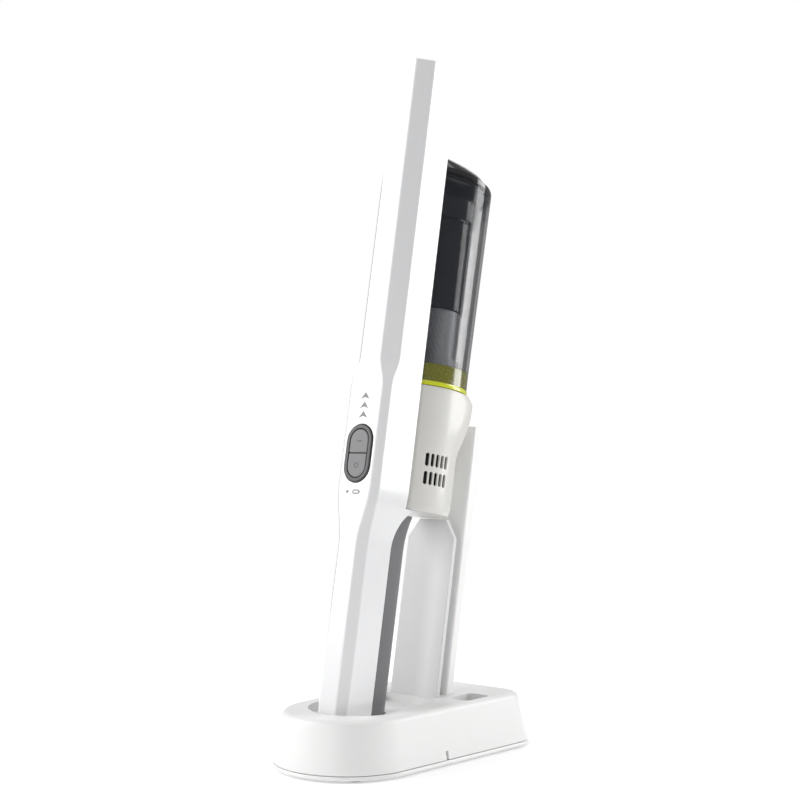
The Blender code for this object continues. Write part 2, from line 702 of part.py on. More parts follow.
def screw_shape(x, y, bottom):
    """A countersunk screw, head down."""
    head = bottom + SCREW_RECESS - GAP
    profile = ((SCREW_HEAD_RADIUS, bottom + GAP), (SCREW_HEAD_RADIUS, head), (SCREW_RADIUS, head))
    rings = [level(circle(r, (x, y), 16), z) for r, z in profile]
    return loft(rings + [level(circle(SCREW_RADIUS, (x, y), 16), FOOT_HEIGHT + SCREW_LENGTH)])


def make_dock_fittings(root, axis):
    """Support plate, charging contacts and power socket."""
    half, corner = PLATE_WIDTH / 2, PLATE_CORNER_WIDTH
    shoulder = PLATE_TOP_Z - PLATE_CORNER_HEIGHT
    outline = [(-half, PLATE_FOOT_Z), (half, PLATE_FOOT_Z), (half, shoulder)]
    outline += [(half - corner, PLATE_TOP_Z), (corner - half, PLATE_TOP_Z), (-half, shoulder)]
    rings = [upright(outline, PLATE_FRONT_Y), upright(outline, PLATE_FRONT_Y + PLATE_THICKNESS)]
    add_piece("dock_support_plate", loft(rings), "light_grey", axis)
    top = -GAP - DOCK_WALL - GAP
    foot = top - PIN_HOLDER_THICKNESS
    low = (-CONTACT_SPACING, CELL_CENTRE_Y - CONTACT_WIDTH, foot)
    holder = block(low, (CONTACT_SPACING, CELL_CENTRE_Y + CONTACT_WIDTH, top))
    holder = add_piece("dock_contact_block", holder, "black_plastic", axis)
    for side, x in zip(("left", "right"), contact_places()):
        change(holder, rod(PIN_RADIUS + GAP, (x, CELL_CENTRE_Y, 2 * foot), (x, CELL_CENTRE_Y, -top)))
        pin = rod(PIN_RADIUS, (x, CELL_CENTRE_Y, foot), (x, CELL_CENTRE_Y, -GAP))
        add_piece(f"dock_charge_pin_{side}", pin, "gold", axis)
    socket = add_piece("dock_power_socket", power_socket_body(0.0), "black_plastic", root)
    z = power_socket_middle()
    rear = DOCK_LENGTH / 2
    inner_end = rear - POWER_SOCKET_LENGTH + DOCK_WALL
    change(socket, rod(PLUG_BORE_RADIUS, (0, inner_end, z), (0, rear + CUTTER_REACH, z), 20))


def make_crevice_tool(axis):
    """Flat crevice tool standing in its socket, the rear of its tip cut at a slant."""
    top = TOOL_FOOT_Z + TOOL_LENGTH
    slant = top - TOOL_SLANT_LENGTH
    shaved = TOOL_THICKNESS - TOOL_TIP_THICKNESS
    outer = [(0.0, TOOL_FOOT_Z), (0.0, slant), (shaved, top)]
    rings = [level(tool_outline(0.0, cut), z) for cut, z in outer]
    inner = [level(tool_outline(-TOOL_WALL, cut), z) for cut, z in reversed(outer)]
    add_piece("crevice_tool", loft(rings + inner, closed=True), "white_satin", axis)


# ---------------------------------------------------------------- spine and handle

def spine_stations():
    """Heights where the spine's section is set out."""
    arch_top = HOUSING_BOTTOM_Z - 2 * GAP
    heights = [END_CAP_HEIGHT + GAP, HANDLE_TOP_Z]
    rise = arch_top - HANDLE_TOP_Z
    heights += [HANDLE_TOP_Z + rise * math.sin(math.radians(9 * i)) for i in range(1, 11)]
    heights += [arch_top + GAP, POD_BOTTOM_Z, POD_TOP_Z]
    heights += [POD_TOP_Z + POD_BLEND * i / BLEND_STEPS for i in range(1, BLEND_STEPS + 1)]
    return heights


def mouth_rim(x, y):
    """Height of the mouth's rim: level in front, falling to the rear."""
    return VACUUM_LENGTH - MOUTH_SLOPE * max(0.0, y - BAR_CHAMFER)


def make_front_shell(axis):
    """White front shell: front face, chamfers and sides from handle to nozzle."""
    rings = []
    for z in spine_stations():
        half, chamfer, depth = spine_sizes(z)
        rings.append(level(channel_outline(half, chamfer, depth, SHELL_WALL), z))
    tip = channel_outline(BAR_WIDTH / 2, BAR_CHAMFER, BAR_DEPTH, SHELL_WALL)
    rings.append(level(tip, mouth_rim))
    shell = add_piece("front_shell", loft(rings), "white_gloss", axis)
    hole = stadium(BEZEL_WIDTH + 2 * GAP, BEZEL_HEIGHT + 2 * GAP, BUTTON_CENTRE_Z)
    change(shell, loft([upright(hole, -CUTTER_REACH), upright(hole, 2 * SHELL_WALL)]))
    return shell


def make_back_plate(axis):
    """White rear cover of the nozzle tube, with the port to the dust cup."""
    half = BAR_WIDTH / 2 - SHELL_WALL - GAP
    outline = [(-half, BAR_DEPTH - SHELL_WALL), (half, BAR_DEPTH - SHELL_WALL)]
    outline += [(half, BAR_DEPTH), (-half, BAR_DEPTH)]
    plate = loft([level(outline, POD_BOTTOM_Z + GAP), level(outline, mouth_rim)])
    plate = add_piece("nozzle_back_plate", plate, "white_gloss", axis)
    change(plate, port_block(0.0, BAR_DEPTH - CUTTER_REACH, BAR_DEPTH + CUTTER_REACH))


def port_block(grow, front, rear):
    """The port between nozzle tube and dust cup as a box between two depths."""
    half_width, half_height = PORT_WIDTH / 2 + grow, PORT_HEIGHT / 2 + grow
    return block((-half_width, front, PORT_Z - half_height), (half_width, rear, PORT_Z + half_height))


def make_suction_duct(axis):
    """Dark duct inside the nozzle: open at the mouth, closed below, with a port behind."""
    front = SHELL_WALL + GAP
    rear = BAR_DEPTH - SHELL_WALL - GAP
    half = BAR_WIDTH / 2 - SHELL_WALL - GAP
    chamfer = BAR_CHAMFER - SHELL_WALL * 0.4

    def section(inset):
        side, nose, back = half - inset, front + inset, rear - inset
        points = [(side - chamfer, nose), (side, nose + chamfer), (side, back)]
        return points + [(-x, y) for x, y in reversed(points)]

    bottom = PORT_Z - PORT_HEIGHT / 2 - DUCT_SILL

    def rim(x, y):
        return mouth_rim(x, y) - DUCT_RECESS

    rings = [level(section(0.0), bottom), level(section(0.0), rim), level(section(DUCT_WALL), rim)]
    rings.append(level(section(DUCT_WALL), bottom + DUCT_WALL))
    duct = add_piece("suction_duct", loft(rings), "black_plastic", axis)
    change(duct, port_block(0.0, rear - 3 * DUCT_WALL, rear + 3 * DUCT_WALL))


def make_grip(axis):
    """Dark soft grip that closes the handle's rear."""
    top = HOUSING_BOTTOM_Z - GRIP_CLEARANCE
    heights = [END_CAP_HEIGHT + GAP] + [z for z in spine_stations() if HANDLE_TOP_Z <= z < top] + [top]
    rings = []
    for z in heights:
        half, _, depth = spine_sizes(z)
        outer = grip_curve(half, depth + GAP, HANDLE_DEPTH, 12)
        inner = grip_curve(half - SHELL_WALL, depth + GAP, HANDLE_DEPTH - SHELL_WALL, 12)
        ring = outer + [(-x, y) for x, y in reversed(outer)] + [(-x, y) for x, y in inner] + inner[::-1]
        rings.append(level(ring, z))
    grip = add_piece("handle_grip", loft(rings), "grip_grey", axis)
    behind = HANDLE_DEPTH + CUTTER_REACH
    for number, z in enumerate(GRIP_SCREW_HEIGHTS, 1):
        seat = HANDLE_DEPTH - GRIP_SCREW_RECESS
        change(grip, rod(GRIP_SCREW_HEAD_RADIUS + GAP, (0, seat, z), (0, behind, z)))
        change(grip, rod(GRIP_SCREW_RADIUS + GAP, (0, seat - GRIP_SCREW_LENGTH, z), (0, behind, z)))
        add_piece(f"grip_screw_{number}", grip_screw(z), "steel", axis)


def grip_screw(z):
    """A pan-head screw pointing forwards into the handle."""
    head_rear, head_front = HANDLE_DEPTH - GAP, HANDLE_DEPTH - GRIP_SCREW_RECESS + GAP
    profile = ((GRIP_SCREW_HEAD_RADIUS, head_rear), (GRIP_SCREW_HEAD_RADIUS, head_front))
    profile += ((GRIP_SCREW_RADIUS, head_front), (GRIP_SCREW_RADIUS, head_front - GRIP_SCREW_LENGTH))
    rings = [[(x, y, z + height) for x, height in circle(r, steps=14)] for r, y in profile]
    return loft(rings)


def make_handle_end(axis):
    """End cap of the handle with its two charging contacts."""
    cap = add_piece("handle_end_cap", prism(handle_outline(), 0.0, END_CAP_HEIGHT), "white_gloss", axis)
    for side, x in zip(("left", "right"), contact_places()):
        half, y = CONTACT_WIDTH / 2, CELL_CENTRE_Y
        wide = half + GAP
        hole = block((x - wide, y - wide, -CUTTER_REACH), (x + wide, y + wide, CUTTER_REACH))
        change(cap, hole)
        contact = block((x - half, y - half, 0.0), (x + half, y + half, END_CAP_HEIGHT))
        add_piece(f"charge_contact_{side}", contact, "gold", axis)


def make_power_pack(axis):
    """Two cells end to end in the handle, and the control board behind the buttons."""
    bottom = END_CAP_HEIGHT + CELL_FOOT
    for number in range(2):
        z = bottom + number * (CELL_LENGTH + GAP)
        cell = prism(circle(CELL_RADIUS, (0, CELL_CENTRE_Y), 28), z, z + CELL_LENGTH)
        add_piece(f"battery_cell_{number + 1}", cell, "cell_wrap", axis)
    front = board_front()
    low = (-BOARD_WIDTH / 2, front, BUTTON_CENTRE_Z - BOARD_LENGTH / 2 + BOARD_TRIM)
    high = (BOARD_WIDTH / 2, front + BOARD_THICKNESS, BUTTON_CENTRE_Z + BOARD_LENGTH / 2)
    add_piece("control_board", block(low, high), "board_green", axis)


def board_front():
    """Depth of the board's front face: button, its travel and the switch stand before it."""
    return button_back() + BUTTON_TRAVEL + GAP + SWITCH_HEIGHT + GAP


def button_back():
    """Depth of a button's rear face at rest."""
    return BUTTON_THICKNESS - BEZEL_PROUD


# ---------------------------------------------------------------- buttons

def button_outline(top):
    """Upper or lower half of the slot shape that both buttons fill."""
    width = BEZEL_WIDTH - 2 * BEZEL_RIM - 2 * SLIDE_PLAY
    height = BEZEL_HEIGHT - 2 * BEZEL_RIM - 2 * SLIDE_PLAY
    radius, reach = width / 2, (height - width) / 2
    curve = arc(0, reach, radius, 0, 180, 12)
    points = [(radius, SLIDE_PLAY / 2)] + curve + [(-radius, SLIDE_PLAY / 2)]
    side = 1 if top else -1
    return [(x, BUTTON_CENTRE_Z + side * z) for x, z in points]


def make_buttons(axis):
    """Dark bezel and the two grey buttons in it, each over its switch."""
    inner = stadium(BEZEL_WIDTH - 2 * BEZEL_RIM, BEZEL_HEIGHT - 2 * BEZEL_RIM, BUTTON_CENTRE_Z)
    face = stadium(BEZEL_WIDTH - 2 * BEZEL_EDGE, BEZEL_HEIGHT - 2 * BEZEL_EDGE, BUTTON_CENTRE_Z)
    outer = stadium(BEZEL_WIDTH, BEZEL_HEIGHT, BUTTON_CENTRE_Z)
    wide = stadium(BEZEL_WIDTH + 2 * BEZEL_FLANGE, BEZEL_HEIGHT + 2 * BEZEL_FLANGE, BUTTON_CENTRE_Z)
    back = SHELL_WALL + GAP
    rear = back + BEZEL_FLANGE_THICKNESS
    rings = [upright(inner, -BEZEL_PROUD), upright(face, -BEZEL_PROUD), upright(outer, -BEZEL_PROUD / 2)]
    rings += [upright(outer, back), upright(wide, back), upright(wide, rear), upright(inner, rear)]
    add_piece("button_bezel", loft(rings, closed=True), "bezel_grey", axis)
    for name, top in (("power_button", True), ("mode_button", False)):
        outline = button_outline(top)
        middle = BUTTON_CENTRE_Z + BUTTON_SPACING / 2 * (1 if top else -1)
        cap = loft([upright(outline, -BEZEL_PROUD), upright(outline, button_back())])
        add_piece(name, cap, "button_grey", axis, (0, button_back(), middle))
        y = button_back() + BUTTON_TRAVEL + GAP
        half = SWITCH_WIDTH / 2
        switch = block((-half, y, middle - half), (half, y + SWITCH_HEIGHT, middle + half))
        add_piece(name.replace("button", "switch"), switch, "black_plastic", axis)


# ---------------------------------------------------------------- motor housing

def housing_section(share, wall):
    """Height, radius, rear reach and squareness of the housing at a share of its height."""
    foot = HOUSING_FOOT_INSET * (1 - smooth(share / 0.05))
    swell = (HOUSING_TOP_RADIUS - HOUSING_RADIUS) * smooth((share - 0.40) / 0.36)
    lip = smooth((share - 0.45) / 0.45) * (1 - 0.7 * smooth((share - 0.94) / 0.06))
    radius = HOUSING_RADIUS + swell - foot - wall
    reach = HOUSING_RADIUS + (HOUSING_LIP - HOUSING_RADIUS) * lip - foot - wall
    return HOUSING_BOTTOM_Z + HOUSING_HEIGHT * share, radius, max(reach, radius), 2 + 1.8 * lip


def housing_rings(wall, front):
    """The housing's sections from bottom to top, wall thinner all round."""
    shares = [0.0, 0.02, 0.05, 0.25] + [0.40 + 0.045 * i for i in range(13)] + [0.97, 1.0]
    sections = [housing_section(share, wall) for share in shares[3 if wall else 0:]]
    return [level(d_outline(radius, front, rear, square), z) for z, radius, rear, square in sections]


def make_motor_housing(axis):
    """Ivory housing round the motor, with a flared lip at the top and vents in both sides."""
    front = BAR_DEPTH + GAP
    floor_z = HOUSING_BOTTOM_Z + HOUSING_FLOOR
    inside = housing_rings(HOUSING_WALL, front + HOUSING_WALL)
    floor = [(x, y, floor_z) for x, y, _ in inside[0]]
    rings = housing_rings(0.0, front) + inside[::-1] + [floor]
    housing = add_piece("motor_housing", loft(rings), "ivory_satin", axis)
    slots = []
    for row in range(VENT_ROWS):
        for column in range(VENT_COLUMNS):
            for side in (1, -1):
                slots.append(vent_slot(row, VENT_FIRST_ANGLE + VENT_PITCH_ANGLE * column, side))
    change(housing, merge(slots))
    z = release_height()
    change(housing, release_body(GAP + SLIDE_PLAY, z))


def vent_slot(row, angle, side):
    """One upright vent slot, cut straight in towards the motor."""
    z = VENT_MIDDLE_Z + (row - (VENT_ROWS - 1) / 2) * VENT_ROW_PITCH
    outline = stadium(VENT_WIDTH, VENT_HEIGHT, 0.0, 4)
    depths = (-HOUSING_RADIUS - 2 * HOUSING_WALL, -HOUSING_RADIUS + 2 * HOUSING_WALL)
    slot = loft([upright(outline, depth) for depth in depths])
    turn = Matrix.Rotation(math.radians(side * angle), 4, "Z")
    slot.transform(Matrix.Translation((0, CUP_CENTRE_Y, z)) @ turn)
    return slot


def release_height():
    """Middle of the cup's release button, in the flared lip."""
    return HOUSING_TOP_Z - RELEASE_DROP


def release_body(grow, z):
    """The cup's release button, grown for its opening."""
    rear = CUP_CENTRE_Y + HOUSING_LIP + RELEASE_PROUD
    width, height = RELEASE_WIDTH + 2 * grow, RELEASE_HEIGHT + 2 * grow
    outline = rounded_rectangle(width, height, HOUSING_WALL + grow, (0, z))
    front = rear - RELEASE_DEPTH - grow
    return loft([upright(outline, front), upright(outline, rear + (CUTTER_REACH if grow else 0.0))])


def make_motor(axis):
    """Motor, its mounting ring, shaft and impeller on the housing's centre line."""
    centre = (0, CUP_CENTRE_Y)
    bottom = HOUSING_BOTTOM_Z + MOTOR_RISE
    top = bottom + MOTOR_LENGTH
    can = [(MOTOR_FOOT[0], bottom - MOTOR_FOOT[1]), (MOTOR_FOOT[0], bottom)]
    can += [(MOTOR_RADIUS, bottom), (MOTOR_RADIUS, top)]
    can += [(MOTOR_NECK[0], top), (MOTOR_NECK[0], top + MOTOR_NECK[1])]
    motor = add_piece("motor", loft([level(circle(r, centre, 32), z) for r, z in can]), "steel", axis)
    low, high = (0, CUP_CENTRE_Y, top - SHAFT_DEPTH), (0, CUP_CENTRE_Y, top + SHAFT_PROUD)
    change(motor, rod(SHAFT_RADIUS + GAP, low, (0, CUP_CENTRE_Y, top + CUTTER_REACH)))
    hub = (0, CUP_CENTRE_Y, top + IMPELLER_RISE)
    shaft = rod(SHAFT_RADIUS, (0, CUP_CENTRE_Y, top - SHAFT_DEPTH + GAP), high)
    add_piece("motor_shaft", shaft, "steel", axis, hub)
    ring_z = top - MOUNT_RING_HEIGHT - MOUNT_RING_DROP
    outer = d_outline(HOUSING_RADIUS - HOUSING_WALL - GAP, BAR_DEPTH + HOUSING_WALL + 2 * GAP)
    inner = bore_outline(MOTOR_RADIUS + GAP)
    add_piece("motor_mount_ring", sleeve(outer, inner, ring_z, ring_z + MOUNT_RING_HEIGHT), "rubber", axis)
    make_impeller(axis, hub)
    release = release_body(0.0, release_height())
    place = (0, CUP_CENTRE_Y + HOUSING_LIP, release_height())
    add_piece("cup_release_button", release, "light_grey", axis, place)


def make_impeller(axis, hub):
    """A backplate, hub and curved blades in one piece, clear of the shaft by a gap."""
    x, y, z = hub
    outer, inner = circle(IMPELLER_RADIUS, (x, y), 35), circle(SHAFT_RADIUS + GAP, (x, y), 35)
    boss = circle(IMPELLER_HUB_RADIUS, (x, y), 35)
    rings = [level(outer, z), level(outer, z + IMPELLER_PLATE), level(boss, z + 1.3 * IMPELLER_PLATE)]
    rings += [level(boss, z + IMPELLER_HEIGHT), level(inner, z + IMPELLER_HEIGHT), level(inner, z)]
    impeller = add_piece("impeller", loft(rings, closed=True), "black_plastic", axis, hub)
    blades = []
    for number in range(IMPELLER_BLADES):
        blade = curved_blade(z)
        turn = Matrix.Rotation(2 * math.pi * number / IMPELLER_BLADES, 4, "Z")
        blade.transform(Matrix.Translation((x, y, 0)) @ turn)
        blades.append(blade)
    change(impeller, merge(blades), "UNION")


def curved_blade(z):
    """One upright blade that bends back as it runs outwards."""
    outer = arc(0.004, -0.012, 0.0135, 20, 95, 5)
    inner = arc(0.004, -0.012, 0.0126, 95, 20, 5)
    return prism(outer + inner, z + 0.0006, z + IMPELLER_HEIGHT - 0.002)


# ---------------------------------------------------------------- dust cup

def cup_rim(x, y):
    """Height of the cup's rim, falling to the rear."""
    return CUP_TOP_Z - CUP_TOP_SLOPE * (y - CUP_FLAT_Y)


def cup_ring(radius_cut, z, share):
    """The cup's section at a share of its height; its radius grows upwards."""
    radius = CUP_FOOT_RADIUS + (CUP_RADIUS - CUP_FOOT_RADIUS) * share - radius_cut
    return level(d_outline(radius, CUP_FLAT_Y + radius_cut), z)


def make_dust_cup(axis):
    """Smoked clear cup, open at both ends, with the port in its flat front and hinge ears."""
    rings = [cup_ring(0.0, CUP_Z, 0.0), cup_ring(0.0, cup_rim, 1.0)]
    rings += [cup_ring(CUP_WALL, cup_rim, 1.0), cup_ring(CUP_WALL, CUP_Z, 0.0)]
    cup = add_piece("dust_cup", loft(rings, closed=True), "smoked_clear", axis)
    x = HINGE_WIDTH / 2 + GAP
    hinge_z = hinge_height()
    for side in (1, -1):
        low, high = (side * x, HINGE_Y, hinge_z), (side * (x + HINGE_EAR_WIDTH), HINGE_Y, hinge_z)
        ear = rod(HINGE_RADIUS, low, high, 20)
        change(cup, ear, "UNION")
        near, far = sorted((side * x, side * (x + HINGE_EAR_WIDTH)))
        foot = block((near, HINGE_Y - HINGE_FOOT[0], hinge_z - HINGE_FOOT[1]),
                     (far, HINGE_Y + HINGE_BACK, hinge_z - HINGE_RISE))
        neck = block((near, HINGE_Y - HINGE_NECK[0], hinge_z - HINGE_NECK[1]),
                     (far, HINGE_Y + HINGE_BACK, hinge_z - HINGE_BACK))
        change(cup, foot, "UNION")
        change(cup, neck, "UNION")
    reach = x + HINGE_EAR_WIDTH + 0.01
    change(cup, rod(HINGE_PIN_RADIUS + GAP / 2, (-reach, HINGE_Y, hinge_z), (reach, HINGE_Y, hinge_z), 12))
    change(cup, port_block(0.0, CUP_FLAT_Y - CUTTER_REACH, CUP_FLAT_Y + CUP_WALL + DUCT_WALL))


def hinge_height():
    """Height of the door's hinge pin, just above the rim's rear end."""
    return cup_rim(0, CUP_CENTRE_Y + CUP_RADIUS) + HINGE_RISE


def make_collar(axis):
    """Clear yellow collar under the cup, holding the filters."""
    flat = CUP_FLAT_Y
    outline = d_outline(CUP_FOOT_RADIUS, flat)
    bead = d_outline(CUP_FOOT_RADIUS + COLLAR_BEAD, flat - COLLAR_BEAD / 2)
    bore = d_outline(CUP_FOOT_RADIUS - COLLAR_WALL, flat + COLLAR_WALL)
    ledge = bore_outline(CORE_RADIUS - LEDGE_REACH)
    top = COLLAR_Z + COLLAR_HEIGHT
    rings = [level(bead, COLLAR_Z), level(bead, COLLAR_Z + BEAD_HEIGHT)]
    rings.append(level(outline, COLLAR_Z + BEAD_HEIGHT + COLLAR_BEAD))
    rings += [level(outline, top), level(ledge, top), level(ledge, top - LEDGE_THICKNESS)]
    rings += [level(bore, top - LEDGE_THICKNESS), level(bore, COLLAR_Z)]
    add_piece("filter_collar", loft(rings, closed=True), "yellow_clear", axis)


def make_filters(axis):
    """Pleated filter in the collar, steel mesh filter and the dark core above it."""
    centre = (0, CUP_CENTRE_Y)
    top = COLLAR_Z + COLLAR_HEIGHT - LEDGE_THICKNESS - GAP
    steps = FILTER_PLEATS * 2
    pleats = []
    for i in range(steps):
        radius = FILTER_RADIUS if i % 2 else FILTER_RADIUS - PLEAT_DEPTH
        angle = 2 * math.pi * i / steps
        pleats.append((radius * math.cos(angle), CUP_CENTRE_Y + radius * math.sin(angle)))
    bore = circle(FILTER_BORE_RADIUS, centre, steps)
    add_piece("pleated_filter", sleeve(pleats, bore, top - FILTER_HEIGHT, top), "filter_fabric", axis)
    base = CUP_Z + GAP
    outer, inner = circle(MESH_RADIUS, centre), circle(MESH_RADIUS - CORE_WALL, centre)
    foot, foot_bore = circle(CORE_RADIUS + CORE_FOOT[0], centre), circle(MESH_RADIUS - CORE_WALL, centre)
    rings = [level(foot, base), level(foot, base + CORE_FOOT[1]), level(outer, base + CORE_FOOT[1])]
    rings += [level(outer, CORE_Z - GAP), level(inner, CORE_Z - GAP), level(foot_bore, base)]
    add_piece("mesh_filter", loft(rings, closed=True), "steel", axis)
    core_top = PORT_Z - PORT_HEIGHT / 2 - DUCT_SILL
    rim, wall = circle(CORE_RADIUS, centre), circle(CORE_RADIUS - CORE_WALL, centre)
    rings = [level(wall, CORE_Z), level(rim, CORE_Z), level(rim, core_top)]
    rings = [level(wall, core_top - CORE_WALL), *rings]
    add_piece("cyclone_core", loft(rings), "black_plastic", axis)
    make_intake_hood(axis, core_top + GAP)


def make_intake_hood(axis, bottom):
    """Black hood that turns incoming air downwards, and the rubber flap inside it."""
    top = bottom + HOOD_HEIGHT
    front = CUP_FLAT_Y + CUP_WALL + GAP
    outer = d_outline(CORE_RADIUS + 2 * HOOD_WALL, front + HOOD_CLEARANCE)
    inner = d_outline(CORE_RADIUS + HOOD_WALL, front + HOOD_CLEARANCE + HOOD_WALL)
    rings = [level(outer, bottom), level(outer, top), level(inner, top), level(inner, bottom)]
    hood = add_piece("intake_hood", loft(rings, closed=True), "black_plastic", axis)
    change(hood, port_block(DUCT_WALL, front - CUTTER_REACH, front + 2 * HOOD_CLEARANCE + HOOD_WALL))
    hinge = (0, front + HOOD_CLEARANCE + 2.5 * HOOD_WALL, top - FLAP_PIN_DROP)
    half, thick = PORT_WIDTH / 2 - FLAP_MARGIN, FLAP_THICKNESS / 2
    flap = block((-half, hinge[1] - thick, bottom + FLAP_MARGIN),
                 (half, hinge[1] + thick, top - FLAP_MARGIN))
    add_piece("intake_flap", flap, "rubber", axis, hinge)


# ---------------------------------------------------------------- door

def door_ring(side_inset, front_inset, z):
    """The door's section, drawn in from the cup's outline."""
    points = []
    shrink = (CUP_RADIUS - side_inset) / CUP_RADIUS
    for x, y in d_outline(CUP_RADIUS, CUP_FLAT_Y):
        points.append((x * shrink, max(y, CUP_FLAT_Y + front_inset)))
    return level(points, z)


def door_roof(x, y):
    """Top of the door: flat in front, then falling steeply to the rear."""
    peak = CUP_TOP_Z + DOOR_RISE
    edge = CUP_FLAT_Y + DOOR_FLAT
    rear = CUP_CENTRE_Y + CUP_RADIUS
    end = cup_rim(0, rear) + DOOR_SKIRT + 2 * GAP
    fall = (peak - end) / (rear - edge)
    return peak - fall * max(0.0, y - edge)


def make_door(axis):
    """Black door on the cup's rim, its hinge pin, seal and latch."""
    seat = [level(d_outline(CUP_RADIUS, CUP_FLAT_Y), lambda x, y: cup_rim(x, y) + GAP)]
    skirt = level(d_outline(CUP_RADIUS, CUP_FLAT_Y), lambda x, y: cup_rim(x, y) + DOOR_SKIRT)

    def shoulder_height(x, y):
        return (cup_rim(x, y) + door_roof(x, y) + DOOR_SKIRT) / 2

    shoulder = door_ring(DOOR_SIDE_INSET * 0.35, 0.0, shoulder_height)
    roof = door_ring(DOOR_SIDE_INSET, DOOR_FRONT_INSET, door_roof)
    hinge = (0, HINGE_Y, hinge_height())
    door = loft(seat + [skirt, shoulder, roof])
    door = add_piece("cup_door", door, "black_plastic", axis, hinge)
    half = HINGE_WIDTH / 2
    knuckle = rod(HINGE_RADIUS, (-half, HINGE_Y, hinge[2]), (half, HINGE_Y, hinge[2]), 20)
    change(door, knuckle, "UNION")
    web = block((-half, HINGE_Y - HINGE_WEB[0], hinge[2] + HINGE_WEB[1]),
                (half, HINGE_Y, hinge[2] + HINGE_RADIUS))
    change(door, web, "UNION")
    for side in (1, -1):
        low, high = side * (half + GAP / 2), side * (half + 2 * GAP + HINGE_EAR_WIDTH)
        room = rod(HINGE_RADIUS + GAP, (low, HINGE_Y, hinge[2]), (high, HINGE_Y, hinge[2]), 20)
        change(door, room)
    reach = half + HINGE_EAR_WIDTH + GAP
    ends = (-reach, HINGE_Y, hinge[2]), (reach, HINGE_Y, hinge[2])
    change(door, rod(HINGE_PIN_RADIUS + GAP / 2, *ends, 12))
    pin = rod(HINGE_PIN_RADIUS, *ends, 12)
    add_piece("door_hinge_pin", pin, "steel", axis)
    change(door, latch_body(SLIDE_PLAY, LATCH_TRAVEL + SLIDE_PLAY, 2 * CUTTER_REACH))
    middle_y = CUP_FLAT_Y + DOOR_FRONT_INSET + LATCH_MARGIN + LATCH_DEPTH / 2
    origin = (0, middle_y, CUP_TOP_Z + DOOR_RISE)
    add_piece("door_latch", latch_body(0.0, 0.0, LATCH_PROUD), "bezel_grey", axis, origin)
    make_seal(axis)


def latch_body(grow, deeper, above):
    """The latch button that is pressed down to free the door."""
    front = CUP_FLAT_Y + DOOR_FRONT_INSET + LATCH_MARGIN
    top = CUP_TOP_Z + DOOR_RISE
    low = (-LATCH_WIDTH / 2 - grow, front - grow, top - LATCH_HEIGHT - deeper)
    return block(low, (LATCH_WIDTH / 2 + grow, front + LATCH_DEPTH + grow, top + above))


def make_seal(axis):
    """Rubber seal under the door, just inside the cup's rim."""
    inset = CUP_WALL + 2 * GAP
    outer = d_outline(CUP_RADIUS - inset, CUP_FLAT_Y + inset)
    inner = d_outline(CUP_RADIUS - inset - SEAL_WIDTH, CUP_FLAT_Y + inset + SEAL_WIDTH)

    def under(x, y):
        return cup_rim(x, y) - SEAL_THICKNESS

    rings = [level(outer, under), level(outer, cup_rim), level(inner, cup_rim), level(inner, under)]
    add_piece("door_seal", loft(rings, closed=True), "rubber", axis)


# ---------------------------------------------------------------- assembly

def centre_on_footprint(root):
    """Moves the whole assembly so that its box stands centred on the origin."""
    bpy.context.view_layer.update()
    graph = bpy.context.evaluated_depsgraph_get()
    places = []
    for obj in bpy.data.objects:
        if obj.type == "MESH" and not obj.hide_render:
            body = obj.evaluated_get(graph)
            places += [(body.matrix_world @ vertex.co).y for vertex in body.data.vertices]
    root.location.y -= (min(places) + max(places)) / 2


def main():
    """Builds the dock, the vacuum and the tool, then centres them."""
    clear_scene()
    root = add_empty("footprint_centre")
    axis = add_empty("vacuum_axis", root, (0, ORIGIN_TO_AXIS_Y, AXIS_FOOT_Z), -LEAN)
    make_dock_shell(root, axis)
    make_dock_base(root)
    make_dock_fittings(root, axis)
    make_crevice_tool(axis)
    make_front_shell(axis)
    make_back_plate(axis)
    make_suction_duct(axis)
    make_grip(axis)
    make_handle_end(axis)
    make_power_pack(axis)
    make_buttons(axis)
    make_motor_housing(axis)
    make_motor(axis)
    make_dust_cup(axis)
    make_collar(axis)
    make_filters(axis)
    make_door(axis)
    centre_on_footprint(root)


main()
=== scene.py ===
"""A slim cordless hand vacuum standing nozzle-up in its charging dock, in a white studio.

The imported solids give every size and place. Each class here takes one sub-assembly, rounds
its edges, adds the small pieces that the solids leave out and gives it its finish.
"""

from __future__ import annotations

import json
import logging
import math
from dataclasses import dataclass, field
from enum import Enum
from typing import Callable, Iterable, Sequence

import bmesh
import bpy
from mathutils import Matrix, Vector


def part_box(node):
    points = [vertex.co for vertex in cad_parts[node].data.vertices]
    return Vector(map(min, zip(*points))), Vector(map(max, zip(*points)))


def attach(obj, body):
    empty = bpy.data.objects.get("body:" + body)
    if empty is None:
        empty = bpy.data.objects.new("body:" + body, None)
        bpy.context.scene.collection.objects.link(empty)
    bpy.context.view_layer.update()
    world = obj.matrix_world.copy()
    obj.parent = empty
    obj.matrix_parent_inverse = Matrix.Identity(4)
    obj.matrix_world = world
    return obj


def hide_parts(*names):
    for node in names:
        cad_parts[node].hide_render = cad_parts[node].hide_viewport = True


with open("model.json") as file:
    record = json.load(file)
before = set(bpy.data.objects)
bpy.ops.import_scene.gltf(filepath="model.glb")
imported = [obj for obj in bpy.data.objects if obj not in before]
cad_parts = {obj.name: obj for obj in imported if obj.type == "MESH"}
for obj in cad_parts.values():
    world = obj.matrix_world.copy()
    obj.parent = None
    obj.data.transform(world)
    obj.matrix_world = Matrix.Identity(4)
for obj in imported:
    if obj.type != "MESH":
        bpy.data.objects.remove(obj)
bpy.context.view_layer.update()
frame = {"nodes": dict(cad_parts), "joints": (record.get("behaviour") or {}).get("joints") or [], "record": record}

LOG = logging.getLogger("hand_vacuum")
MM = 0.001
Colour = tuple[float, float, float]
Size = tuple[float, float]


